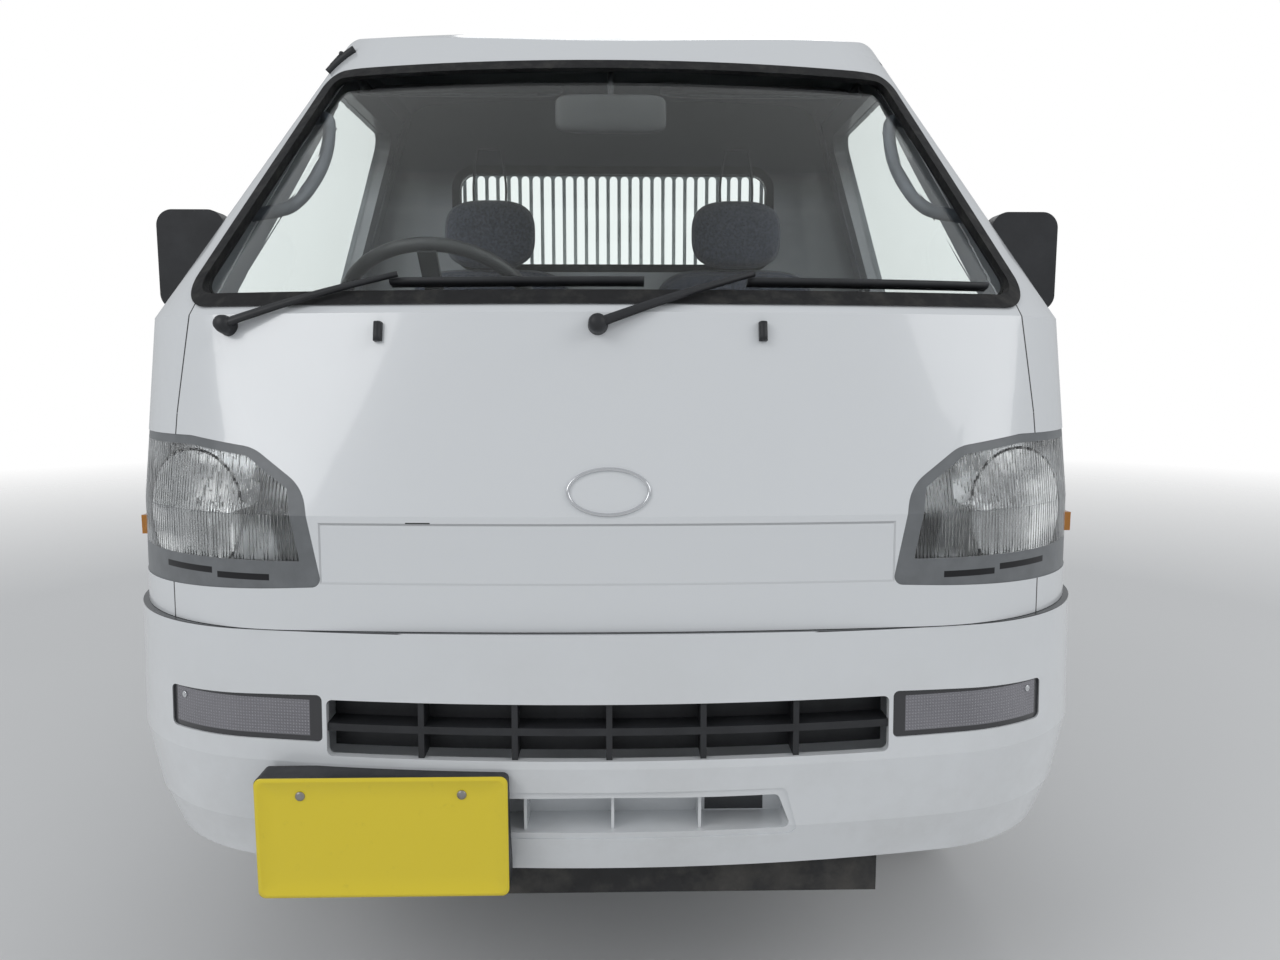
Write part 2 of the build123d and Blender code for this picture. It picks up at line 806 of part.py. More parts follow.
dash_profile = [
    (130, 850),
    (300, 850),
    (470, 900),
    (500, 960),
    (470, 1060),
    (380, 1105),
    (130, 1105),
]
dashboard = across(outline(dash_profile, [0.5, 10, 20, 25, 25, 40, 0.5]), -650, 650) & inner_reach

hub_y, hub_z = wheel_hub
tilt = radians(steering_tilt)
wheel_plane = Plane(origin=(column_x, hub_y, hub_z), x_dir=(1, 0, 0), z_dir=(0, cos(tilt), sin(tilt)))


def on_column(step):
    """The point of the steering axis at a step towards the driver from the wheel's middle."""
    return wheel_plane.origin + wheel_plane.z_dir * step


steering_wheel = Torus(steering_radius, steering_tube)
steering_wheel = steering_wheel + Pos(0, 0, -22) * Cylinder(45, 40)
for spoke_angle in (0, 180, 270):
    steering_wheel = steering_wheel + Rot(0, 0, spoke_angle) * Pos(steering_radius / 2 + 15, 0, -12) * Box(
        steering_radius - 40, 34, 10
    )
steering_wheel = wheel_plane * steering_wheel
column_top = on_column(-42 - swing_gap)
column_foot = on_column(-540)
steering_column = rod(column_top, column_foot, 30)
steering_wheel = steering_wheel + rod(
    on_column(-30), on_column(-42 - swing_gap + seat_gap), 12
)
dashboard = dashboard - rod(on_column(100), on_column(-900), 30 + seat_gap)
dashboard = dashboard - rod(on_column(100), on_column(-70), steering_radius + 40)

seat_x = 310
cushion_top = 770
back_face = 1190


def seat():
    """Cushion, back and head restraint of one seat, as three closed forms."""
    cushion = fillet(slab(-225, 225, 800, 1200, plinth_z + seat_gap, cushion_top).edges(), 35)
    back_side = [(1206, plinth_z + seat_gap), (1290, plinth_z + seat_gap), (1332, 1285), (1250, 1285)]
    back = across(outline(back_side, 30), -225, 225)
    head_side = [(1232, 1285.3), (1310, 1285.3), (1322, 1453), (1250, 1453)]
    head = across(outline(head_side, 30), -109, 109)
    return cushion, back, head


seat_parts = seat()
driver_seat = [Pos(-seat_x, 0, 0) * piece for piece in seat_parts]
passenger_seat = [Pos(seat_x, 0, 0) * piece for piece in seat_parts]

# Bed
bed_half = gate_face - gate_wall
deck_half = bed_half - swing_gap
gate_foot = deck_height - gate_overhang
gate_top = deck_height + gate_height
sill_drop = 60
bed_deck = slab(-deck_half, deck_half, bed_front - 6, bed_rear, deck_under, deck_height)
for rib_x in range(-640, 641, 80):
    bed_deck = bed_deck + slab(
        rib_x - 14, rib_x + 14, bed_front + 20, bed_rear - 20, deck_height - 5, deck_height + 4
    )
for sill_y in deck_sills:
    bed_deck = bed_deck + slab(
        -deck_half + 10, deck_half - 10, sill_y - 25, sill_y + 25, deck_under - 40 + seat_gap, deck_under + 5
    )
for side in (-1, 1):
    edge_x = side * (deck_half - 20)
    bed_deck = bed_deck + slab(
        edge_x - 20, edge_x + 20, bed_front, bed_rear, deck_under - sill_drop, deck_under + 5
    )
bed_deck = bed_deck + slab(
    -deck_half, deck_half, bed_rear - 40, bed_rear, deck_under - sill_drop, deck_under + 5
)


def gate_hinge(bore):
    """Knuckle and strap of a gate's hinge, about the x = 0, z = 0 hinge line along y, gate on the inside."""
    knuckle_form = rod((0, -hinge_width / 2, 0), (0, hinge_width / 2, 0), hinge_radius)
    strap = slab(-hinge_out, 0, -hinge_width / 2, hinge_width / 2, 0, hinge_drop + 60)
    return knuckle_form + strap - rod((0, -hinge_width, 0), (0, hinge_width, 0), bore)


def hinge_bracket(reach):
    """Fixed half of a gate's hinge: two knuckles on arms from the bed's sill, with the pin between them."""
    bracket = rod((0, -hinge_width, 0), (0, hinge_width, 0), hinge_pin - shaft_gap)
    for end in (-1, 1):
        inner = end * (hinge_width / 2 + 0.5)
        outer = end * (hinge_width / 2 + 18)
        low, high = min(inner, outer), max(inner, outer)
        bracket = bracket + rod((0, low, 0), (0, high, 0), hinge_radius)
        bracket = bracket + slab(-reach, 0, low, high, -hinge_radius, hinge_radius - 4)
    return bracket


gate_pin_z = gate_foot - hinge_drop
gate_pin_x = gate_face + hinge_out
tail_front = bed_rear + swing_gap
tail_face = tail_front + tail_wall
tail_pin_y = tail_face + hinge_out
side_hinges = (bed_front + 208, bed_front + 968, bed_rear - 192)
tail_hinges = (-520, 0, 520)
for hinge_y in side_hinges:
    bed_deck = bed_deck + both(Pos(gate_pin_x, hinge_y, gate_pin_z) * hinge_bracket(gate_pin_x - deck_half + 5))
for hinge_x in tail_hinges:
    bed_deck = bed_deck + Pos(hinge_x, tail_pin_y, gate_pin_z) * Rot(0, 0, 90) * hinge_bracket(
        tail_pin_y - bed_rear + 5
    )

headboard = slab(
    -gate_face, gate_face, headboard_y, headboard_y + headboard_wall, deck_under - sill_drop, gate_top
)
headboard = headboard - slab(
    -bed_half + 100, bed_half - 100, headboard_y - 1, headboard_y + 8, 700, gate_top - 40
)
guard_half = 560
frame_pipe = guard_bar / 2
guard_y = headboard_y + headboard_wall / 2
guard = slab(-guard_half, guard_half, guard_y - 12, guard_y + 12, guard_top - guard_bar, guard_top)
for side in (-1, 1):
    post_x = side * (guard_half - frame_pipe)
    guard = guard + slab(
        post_x - frame_pipe, post_x + frame_pipe, guard_y - 12, guard_y + 12, gate_top - 5, guard_top
    )
headboard = headboard + guard

sheet_y0 = guard_y - 2
guard_sheet_half = guard_half - guard_bar - seat_gap
guard_grille = slab(
    -guard_sheet_half, guard_sheet_half, sheet_y0, sheet_y0 + 4, guard_slot_foot - 60, guard_slot_head + 60
)
slot_cut = None
for index in range(guard_slots):
    slot_x = (index - (guard_slots - 1) / 2) * guard_slot_pitch
    slot = along(
        Pos(slot_x, (guard_slot_foot + guard_slot_head) / 2)
        * SlotOverall(guard_slot_head - guard_slot_foot, guard_slot_width, rotation=90),
        sheet_y0 - 2,
        sheet_y0 + 8,
    )
    slot_cut = slot if slot_cut is None else slot_cut + slot
guard_grille = guard_grille - slot_cut

side_gate = slab(bed_half, gate_face, bed_front + swing_gap, bed_rear, gate_foot, gate_top)
for hinge_y in side_hinges:
    side_gate = side_gate + Pos(gate_pin_x, hinge_y, gate_pin_z) * gate_hinge(hinge_pin)
tail_gate = slab(-gate_face, gate_face, tail_front, tail_face, gate_foot, gate_top)
for hinge_x in tail_hinges:
    tail_gate = tail_gate + Pos(hinge_x, tail_pin_y, gate_pin_z) * Rot(0, 0, 90) * gate_hinge(hinge_pin)
panel_pitch = (bed_rear - bed_front - 30) / 3
for panel_index in range(3):
    panel_y0 = bed_front + 60 + panel_index * panel_pitch
    side_gate = side_gate - slab(
        gate_face - 8, gate_face + 1, panel_y0, panel_y0 + panel_pitch - 70, gate_foot + 75, gate_top - 50
    )
    panel_x0 = -650 + panel_index * 450
    tail_gate = tail_gate - slab(
        panel_x0, panel_x0 + 400, tail_face - 8, tail_face + 1, gate_foot + 75, gate_top - 50
    )

rear_lamp = fillet(slab(430, 650, rail_end - 20, rail_end + 35, 480, 560).edges().filter_by(Axis.Y), 10)
rear_lamp = rear_lamp + slab(520, 560, rail_end - 10, rail_end + 30, 559, deck_under - sill_drop - seat_gap)
rear_bar = slab(-400, 400, rail_end + seat_gap, rail_end + 45, rail_rear_z + 5, rail_rear_z + 65)
for side in (-1, 1):
    bolt_x = side * plate_bolt_half
    bolt_start = (bolt_x, rail_end - 10, plate_bolt_z)
    rear_bar = rear_bar - rod(bolt_start, (bolt_x, rail_end + 60, plate_bolt_z), plate_bolt_hole)
mudguard_y = rear_axle_y + 305
mudguard = slab(590, 700, mudguard_y, mudguard_y + 6, 250, deck_under - sill_drop - seat_gap)

# Small outside pieces
mirror_body = fillet(
    slab(mirror_reach - 125, mirror_reach, 655, 700, 1150, 1335).edges().filter_by(Axis.Y), 30
)
mirror_arm = rod((mirror_reach - 60, 690, 1180), (690, 560, 1140), 8)
door_mirror = mirror_body + (mirror_arm - cab_form(-seat_gap, -seat_gap, 0))

nodes = {
    "ladder_frame": ladder_frame,
    "engine_block": engine_block,
    "fuel_tank": fuel_tank,
    "exhaust": exhaust,
    "propeller_shaft": propeller_shaft,
    "rear_axle": rear_axle,
    "leaf_springs": leaf_springs,
    "front_suspension": front_suspension,
    "cab_floor": cab_floor,
    "cab_side_left": side_panel,
    "cab_side_right": other_side(side_panel),
    "cab_front_panel": front_panel,
    "cab_back_panel": back_panel,
    "roof_panel": roof_panel,
    "windscreen": windscreen,
    "windscreen_seal": windscreen_seal,
    "rear_window": rear_window,
    "rear_window_seal": rear_window_seal,
    "bumper": bumper,
    "bumper_grille": bumper_grille,
    "turn_lamps": both(turn_lamp),
    "headlamps": both(lamp_body),
    "headlamp_lenses": both(lamp_lens),
    "side_repeaters": both(repeater),
    "front_plate_carrier": plate_carrier,
    "dashboard": dashboard,
    "steering_column": steering_column,
    "steering_wheel": steering_wheel,
    "driver_seat": Compound(driver_seat),
    "passenger_seat": Compound(passenger_seat),
    "bed_deck": bed_deck,
    "bed_headboard": headboard,
    "guard_grille": guard_grille,
    "side_gate_left": side_gate,
    "side_gate_right": other_side(side_gate),
    "tail_gate": tail_gate,
    "rear_lamps": both(rear_lamp),
    "rear_bumper": rear_bar,
    "mudguards": both(mudguard),
    "door_left": door,
    "door_right": other_side(door),
    "door_glass_left": door_glass,
    "door_glass_right": other_side(door_glass),
    "door_mirror_left": door_mirror,
    "door_mirror_right": other_side(door_mirror),
    "knuckle_left": knuckle,
    "knuckle_right": other_side(knuckle),
}
# columns: name, side, track half, distance behind the front
wheels = [
    ("front_left", 1, front_half_track, front_axle),
    ("front_right", -1, front_half_track, front_axle),
    ("rear_left", 1, rear_half, rear_axle_y),
    ("rear_right", -1, rear_half, rear_axle_y),
]
for name, side, half_track, wheel_y in wheels:
    spot = Pos(side * half_track, wheel_y, axle_z)
    nodes["rim_" + name] = spot * (rim if side > 0 else other_side(rim))
    nodes["tyre_" + name] = spot * tyre

os.makedirs("parts", exist_ok=True)
for name, shape in nodes.items():
    export_step(Pos(0, -length / 2, 0) * shape, "parts/" + name + ".step")
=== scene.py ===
"""Looks of a small cab-over pickup truck: finishes, tyres, seats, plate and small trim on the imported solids.

Lengths are in metres. X runs across the truck, the front is at the lowest Y, and Z is the height.
"""

import json
import math

import bmesh
import bpy
import numpy as np
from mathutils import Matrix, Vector
from mathutils.bvhtree import BVHTree


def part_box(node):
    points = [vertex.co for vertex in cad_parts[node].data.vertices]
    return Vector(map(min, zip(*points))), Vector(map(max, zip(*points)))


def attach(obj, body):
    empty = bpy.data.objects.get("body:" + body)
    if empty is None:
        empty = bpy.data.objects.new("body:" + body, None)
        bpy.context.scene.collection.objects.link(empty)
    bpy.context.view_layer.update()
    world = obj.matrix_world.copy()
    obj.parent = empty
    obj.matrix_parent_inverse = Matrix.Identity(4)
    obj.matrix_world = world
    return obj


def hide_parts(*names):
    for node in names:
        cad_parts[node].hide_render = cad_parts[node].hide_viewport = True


bl_info = {
    "name": "Kei truck looks",
    "version": (1, 0, 0),
    "blender": (4, 5, 0),
    "location": "View3D > Sidebar > Truck",
    "description": "Finishes and small pieces of a small cab-over pickup truck",
    "category": "Object",
}

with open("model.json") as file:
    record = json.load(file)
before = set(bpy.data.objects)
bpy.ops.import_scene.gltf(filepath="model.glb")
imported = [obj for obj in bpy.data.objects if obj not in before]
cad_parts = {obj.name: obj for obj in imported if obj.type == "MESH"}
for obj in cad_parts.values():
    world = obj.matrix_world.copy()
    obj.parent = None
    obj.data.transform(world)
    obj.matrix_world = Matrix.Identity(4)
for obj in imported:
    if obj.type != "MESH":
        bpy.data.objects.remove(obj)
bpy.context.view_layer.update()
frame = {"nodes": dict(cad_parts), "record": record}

FRONT = -1.6975
FRONT_AXLE = FRONT + 0.925
REAR_AXLE = FRONT + 2.825
AXLE_HEIGHT = 0.271
WHEELS = (
    # name, side, half track, axle's place along the truck
    ("front_left", 1, 0.6525, FRONT_AXLE),
    ("front_right", -1, 0.6525, FRONT_AXLE),
    ("rear_left", 1, 0.65, REAR_AXLE),
    ("rear_right", -1, 0.65, REAR_AXLE),
)

# Finishes by name, most of them the record's slots.
FINISHES = {}


# Settings

def colour_setting(name, description, default):
    """A colour in the sidebar."""
    return bpy.props.FloatVectorProperty(
        name=name, description=description, subtype="COLOR", size=3, min=0, max=1, default=default)


def length_setting(name, description, default):
    """A length in the sidebar."""
    return bpy.props.FloatProperty(name=name, description=description, unit="LENGTH", default=default)


class PaintSettings(bpy.types.PropertyGroup):
    """Colours of the painted and moulded surfaces."""

    white: colour_setting("White paint", "Colour of cab, bed and bumper", (0.80, 0.82, 0.84))
    trim: colour_setting("Cab trim", "Colour of the cab's inside", (0.27, 0.28, 0.30))
    dark: colour_setting("Dark plastic", "Colour of mirrors, grille and wipers", (0.022, 0.023, 0.026))
    plate: colour_setting("Plate yellow", "Colour of the blank number plate", (0.86, 0.68, 0.03))
    cloth: colour_setting("Seat cloth", "Colour of the seats", (0.03, 0.034, 0.05))


class TyreSettings(bpy.types.PropertyGroup):
    """Sizes of the tyre's tread."""

    radius: length_setting("Radius", "Outer radius of a tyre", 0.271)
    width: length_setting("Width", "Width of a tyre", 0.145)
    groove: length_setting("Groove depth", "Depth of the tread's grooves", 0.006)
    pitches: bpy.props.IntProperty(name="Pitches", description="Tread blocks round a tyre", default=60)


class PlateSettings(bpy.types.PropertyGroup):
    """Sizes of the blank number plate."""

    width: length_setting("Width", "Width of the plate", 0.33)
    height: length_setting("Height", "Height of the plate", 0.165)
    rim: length_setting("Rim", "Height of the pressed rim", 0.0012)


class StageSettings(bpy.types.PropertyGroup):
    """Light and floor of the studio."""

    sky: bpy.props.FloatProperty(name="Sky", description="Strength of the light from all round", default=0.50)
    lamp: bpy.props.FloatProperty(
        name="Lamp", description="Power of the soft lamps", subtype="POWER", default=95.0)
    floor: colour_setting("Floor", "Colour of the floor", (0.80, 0.80, 0.80))


# Surfaces as whole arrays. A patch is (points[rows, columns, 3], wrap rows, wrap columns).

def grid_faces(rows, columns, wrap_rows, wrap_columns, start):
    """Quads between neighbouring points of a rows x columns grid, also across a wrapped edge."""
    i = np.arange(rows if wrap_rows else rows - 1)
    j = np.arange(columns if wrap_columns else columns - 1)
    a, b = np.meshgrid(i, j, indexing="ij")
    a, b = a.ravel(), b.ravel()
    a1, b1 = (a + 1) % rows, (b + 1) % columns
    quads = np.stack([a * columns + b, a1 * columns + b, a1 * columns + b1, a * columns + b1], axis=1)
    return quads + start


def write_mesh(name, patches, finish, body="root", smooth=True):
    """Joins patches to one closed mesh with its finish, and has it ride on a body."""
    points, faces, start = [], [], 0
    for grid, wrap_rows, wrap_columns in patches:
        rows, columns = grid.shape[:2]
        points.append(grid.reshape(-1, 3))
        faces.append(grid_faces(rows, columns, wrap_rows, wrap_columns, start))
        start += rows * columns
    points, faces = np.concatenate(points), np.concatenate(faces)
    mesh = bpy.data.meshes.new(name)
    mesh.vertices.add(len(points))
    mesh.vertices.foreach_set("co", points.astype(np.float32).ravel())
    mesh.loops.add(faces.size)
    mesh.loops.foreach_set("vertex_index", faces.astype(np.int32).ravel())
    mesh.polygons.add(len(faces))
    mesh.polygons.foreach_set("loop_start", (np.arange(len(faces)) * 4).astype(np.int32))
    mesh.polygons.foreach_set("use_smooth", np.full(len(faces), smooth))
    mesh.update(calc_edges=True)
    close_mesh(mesh)
    mesh.materials.append(FINISHES[finish])
    made = bpy.data.objects.new(name, mesh)
    bpy.context.scene.collection.objects.link(made)
    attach(made, body)
    return made


def close_mesh(mesh, merge=1e-6):
    """Merges doubled points at seams and poles, drops faces without area and turns the rest outwards."""
    work = bmesh.new()
    work.from_mesh(mesh)
    bmesh.ops.remove_doubles(work, verts=work.verts, dist=merge)
    bmesh.ops.dissolve_degenerate(work, edges=work.edges, dist=merge)
    bmesh.ops.recalc_face_normals(work, faces=work.faces)
    work.to_mesh(mesh)
    work.free()


def around(steps):
    """Angles of whole steps round a circle."""
    return np.linspace(0, 2 * np.pi, steps, endpoint=False)


def unit(ways):
    """Directions drawn to length one."""
    return ways / np.linalg.norm(ways, axis=-1, keepdims=True)


def on_side(points, side, count):
    """A smooth curve through points (across, behind the front, height) on one side of the truck."""
    return smooth_path([(side * x, FRONT + d, z) for x, d, z in points], count)


def turned(spot, axis, profile, steps=24):
    """A turned form on a spot: each profile point (out, radius) goes out along the axis and round it by the
    radius, as the radius times (cos, sin) of the angle on two directions square to the axis."""
    axis = unit(np.asarray(axis, float))
    first = unit(np.cross(axis, [0.0, 0.0, 1.0]))
    second = np.cross(axis, first)
    turn = around(steps)[:, None, None]
    out, radius = np.asarray(profile, float).T[..., None]
    return spot + axis * out + (first * np.cos(turn) + second * np.sin(turn)) * radius, True, False


def tube(path, radius, sides, close=False):
    """A round bar: at each point of the path a circle stands square to the path's direction, and the ends
    of an open path are drawn to a point."""
    path = np.asarray(path, float)
    ahead = unit(np.roll(path, -1, 0) - np.roll(path, 1, 0) if close else np.gradient(path, axis=0))
    first = np.cross(ahead, [0.0, 0.0, 1.0])
    weak = np.linalg.norm(first, axis=1) < 0.2
    first[weak] = np.cross(ahead[weak], [0.0, 1.0, 0.0])
    for k in range(1, len(path)):
        if first[k] @ first[k - 1] < 0:
            first[k] *= -1
    first = unit(first)
    second = np.cross(ahead, first)
    turn = around(sides)[None, :, None]
    grid = path[:, None] + (first[:, None] * np.cos(turn) + second[:, None] * np.sin(turn)) * radius
    if not close:
        ends = [np.broadcast_to(path[k], (1, sides, 3)) for k in (0, -1)]
        grid = np.concatenate([ends[0], grid, ends[1]])
    return grid, close, True


def smooth_path(points, count):
    """A curve through a few points: each coordinate follows a Catmull-Rom cubic between its neighbours."""
    p = np.asarray(points, float)
    p = np.concatenate([[2 * p[0] - p[1]], p, [2 * p[-1] - p[-2]]])
    t = np.linspace(0, len(p) - 3 - 1e-9, count)
    k = t.astype(int)
    u = (t - k)[:, None]
    a, b, c, d = p[k], p[k + 1], p[k + 2], p[k + 3]
    square, cube = 2 * a - 5 * b + 4 * c - d, 3 * b - a - 3 * c + d
    return 0.5 * (2 * b + (c - a) * u + square * u ** 2 + cube * u ** 3)


def skin_points(nodes, starts, way):
    """Where rays from some starts first meet some solids, and the faces' directions against the rays."""
    corners, polygons = [], []
    for node in nodes:
        mesh = frame["nodes"][node].data
        first = len(corners)
        corners += [v.co.copy() for v in mesh.vertices]
        polygons += [tuple(k + first for k in p.vertices) for p in mesh.polygons]
    tree = BVHTree.FromPolygons(corners, polygons)
    spots, ways = [], []
    for begin in starts:
        spot, face, _, _ = tree.ray_cast(Vector(begin), Vector(way))
        if spot is None:
            raise ValueError(f"no face of {nodes} from {begin}")
        spots.append(spot)
        ways.append(-face if face.dot(Vector(way)) > 0 else face)
    return np.array(spots), np.array(ways)


def front_points(nodes, places):
    """Front-most points of some solids at places (across, height)."""
    return skin_points(nodes, [(x, FRONT - 0.5, z) for x, z in places], (0, 1, 0))


def swept(path, ways, section, wide=1.0):
    """A bar of one section along a path: each corner (side, out) goes sideways by its side times the width,
    square to the path and the way out, and outwards by its out. Both ends close in a point."""
    ahead = unit(np.gradient(path, axis=0))
    side = unit(np.cross(ahead, ways))
    out = np.cross(side, ahead)
    section = np.asarray(section, float)
    wide = np.broadcast_to(wide, len(path))[:, None, None]
    grid = path[:, None] + side[:, None] * section[:, :1] * wide + out[:, None] * section[:, 1:]
    middle = grid.mean(axis=1, keepdims=True)
    ends = [np.broadcast_to(middle[k], (1, len(section), 3)) for k in (0, -1)]
    return np.concatenate([ends[0], grid, ends[1]]), False, True


def both_halves(half):
    """A section from its right half, which starts at the middle."""
    return [(-x, out) for x, out in half[::-1]] + half


def block(x0, x1, y0, y1, z0, z1):
    """A plain box: its foot and head rings with a point in the middle of each."""
    ring = np.array([(x0, y0), (x1, y0), (x1, y1), (x0, y1)])
    middle = np.broadcast_to(ring.mean(axis=0), (4, 2))
    rows = [(middle, z0), (ring, z0), (ring, z1), (middle, z1)]
    return np.array([np.column_stack([spots, np.full(4, z)]) for spots, z in rows]), False, True


def hexagon_nut(centre, across, height, side):
    """A nut on the X axis: the radius follows a hexagon's edge, half the width across flats over the cosine
    of the angle to the nearest flat, with a domed end."""
    turn = around(24)
    flat = (across / 2) / np.cos((turn % (np.pi / 3)) - np.pi / 6)
    steps = np.array([0.0, 0.0, 0.75, 1.0, 1.0])
    share = np.array([0.0, 1.0, 1.0, 0.82, 0.0])[:, None]
    x = np.broadcast_to(centre[0] + side * height * steps[:, None], (5, 24))
    y = centre[1] + share * flat * np.cos(turn)
    z = centre[2] + share * flat * np.sin(turn)
    return np.stack([x, y, z], axis=-1), False, True


def round_sheet(centre, width, height, corner, steps, rings):
    """A sheet with round corners: each ring (share across, share up, place along Y) is one rounded
    rectangle scaled by the shares, and both faces close in a middle point."""
    turn = around(steps)
    quarter = np.floor(turn / (np.pi / 2)).astype(int)
    x = np.array([1, -1, -1, 1])[quarter] * (width / 2 - corner) + corner * np.cos(turn)
    z = np.array([1, 1, -1, -1])[quarter] * (height / 2 - corner) + corner * np.sin(turn)
    rows = [np.zeros((steps, 3))]
    for share_x, share_z, out in rings:
        rows.append(np.stack([x * share_x, np.full_like(x, out), z * share_z], axis=-1))
    rows.append(rows[-1] * [0, 1, 0])
    return np.array(rows) + centre, False, True


def pad(half, power, seam, centre, lean=0.0):
    """A stuffed pad: a superellipsoid of the two angles, where each coordinate is its half size times sine
    or cosine to the power 2 over the given one, and a welt stands out round the middle of its thin side. It
    leans about X by some degrees and sits on its centre."""
    rise = np.linspace(-np.pi / 2, np.pi / 2, 61)[:, None]
    turn = around(120)[None, :]
    thin = int(np.argmin(half))
    first, second = [k for k in range(3) if k != thin]

    def bent(value, p):
        return np.sign(value) * np.abs(value) ** (2 / p)

    ring = bent(np.cos(rise), 2.6) * (1 + seam / max(half) * np.exp(-(rise / 0.045) ** 2))
    grid = np.zeros((61, 120, 3))
    grid[..., first] = half[first] * ring * bent(np.cos(turn), power)
    grid[..., second] = half[second] * ring * bent(np.sin(turn), power)
    grid[..., thin] = half[thin] * bent(np.sin(rise), 2.6) * np.ones_like(turn)
    c, s = math.cos(math.radians(lean)), math.sin(math.radians(lean))
    return grid @ np.array([(1, 0, 0), (0, c, s), (0, -s, c)]) + centre, False, True


def pane(centre, width, height, corner, thick):
    """A flat pane that faces back, with its edge rounded over the thickness."""
    steps = ((1.0, 0.0), (1.0, 0.6), (0.985, 1.0), (0.5, 1.0))
    rings = [(share, share, out * thick) for share, out in steps]
    return round_sheet(centre, width, height, corner, 64, rings)


def tyre_surface(radius, width, groove, pitches):
    """A tyre about X. Its section runs from bead to bead over a crown that falls with the square of the
    place across, and round shoulders. The radius drops by the groove depth in four rings and in slanted
    notches, where a cosine of the turn plus a sine of the place across is high."""
    half, bead, foot = width / 2, 0.0547, 0.1522
    across = np.linspace(-0.62, 0.62, 61) * half
    crown = radius - 0.0018 * (across / (0.62 * half)) ** 2
    # share of the half width, and how far below the tread
    shoulder = np.array([
        (0.70, 0.0032), (0.78, 0.0055), (0.85, 0.0095), (0.905, 0.0155), (0.93, 0.022), (0.955, 0.032),
        (0.98, 0.045), (0.995, 0.058), (1.0, 0.068), (0.985, 0.080), (0.95, 0.090), (0.90, 0.0975)])
    wall_x, wall_r = shoulder[:, 0] * half, radius - shoulder[:, 1]
    bead_x = bead + np.array([0.004, 0, -0.0005, -0.004])
    bead_r = foot + np.array([0.015, 0.012, 0.004, 0])
    x = np.concatenate([across, wall_x, bead_x, -bead_x[::-1], -wall_x[::-1]])
    r = np.concatenate([crown, wall_r, bead_r, bead_r[::-1], wall_r[::-1]])
    turn = around(480)[:, None]
    share = x / half
    rings = sum(np.exp(-((share - c) / 0.035) ** 4) for c in (-0.42, -0.14, 0.14, 0.42))
    on_tread = (np.abs(share) < 0.95) & (r > radius - 0.02)
    wave = np.cos(pitches * turn + 7.0 * np.sin(3.2 * share))
    notch = np.clip((wave - 0.80) / 0.08, 0, 1) * np.clip((np.abs(share) - 0.46) / 0.05, 0, 1)
    sipes = np.clip((wave - 0.955) / 0.03, 0, 1) * 0.6
    radii = r - np.clip(rings + notch + sipes, 0, 1) * on_tread * groove
    return np.stack([np.broadcast_to(x, radii.shape), radii * np.cos(turn), radii * np.sin(turn)], axis=-1)


# Materials

# Colours of road film and of a gap, and the headlamp's upper outline as places (across, height)
FILM = (0.42, 0.40, 0.37)
GAP = (0.02, 0.02, 0.022)
LAMP_OUTLINE = ((0.380, 0.755), (0.406, 0.886), (0.480, 0.937), (0.580, 0.951), (0.760, 0.951))


def mix_shaders(tree, share, first, second, target):
    """Sends a mix of two shaders, by a share, to a target socket."""
    mix = tree.nodes.new("ShaderNodeMixShader")
    for source, socket in ((share, "Fac"), (first, 1), (second, 2)):
        tree.links.new(source, mix.inputs[socket])
    tree.links.new(mix.outputs["Shader"], target)


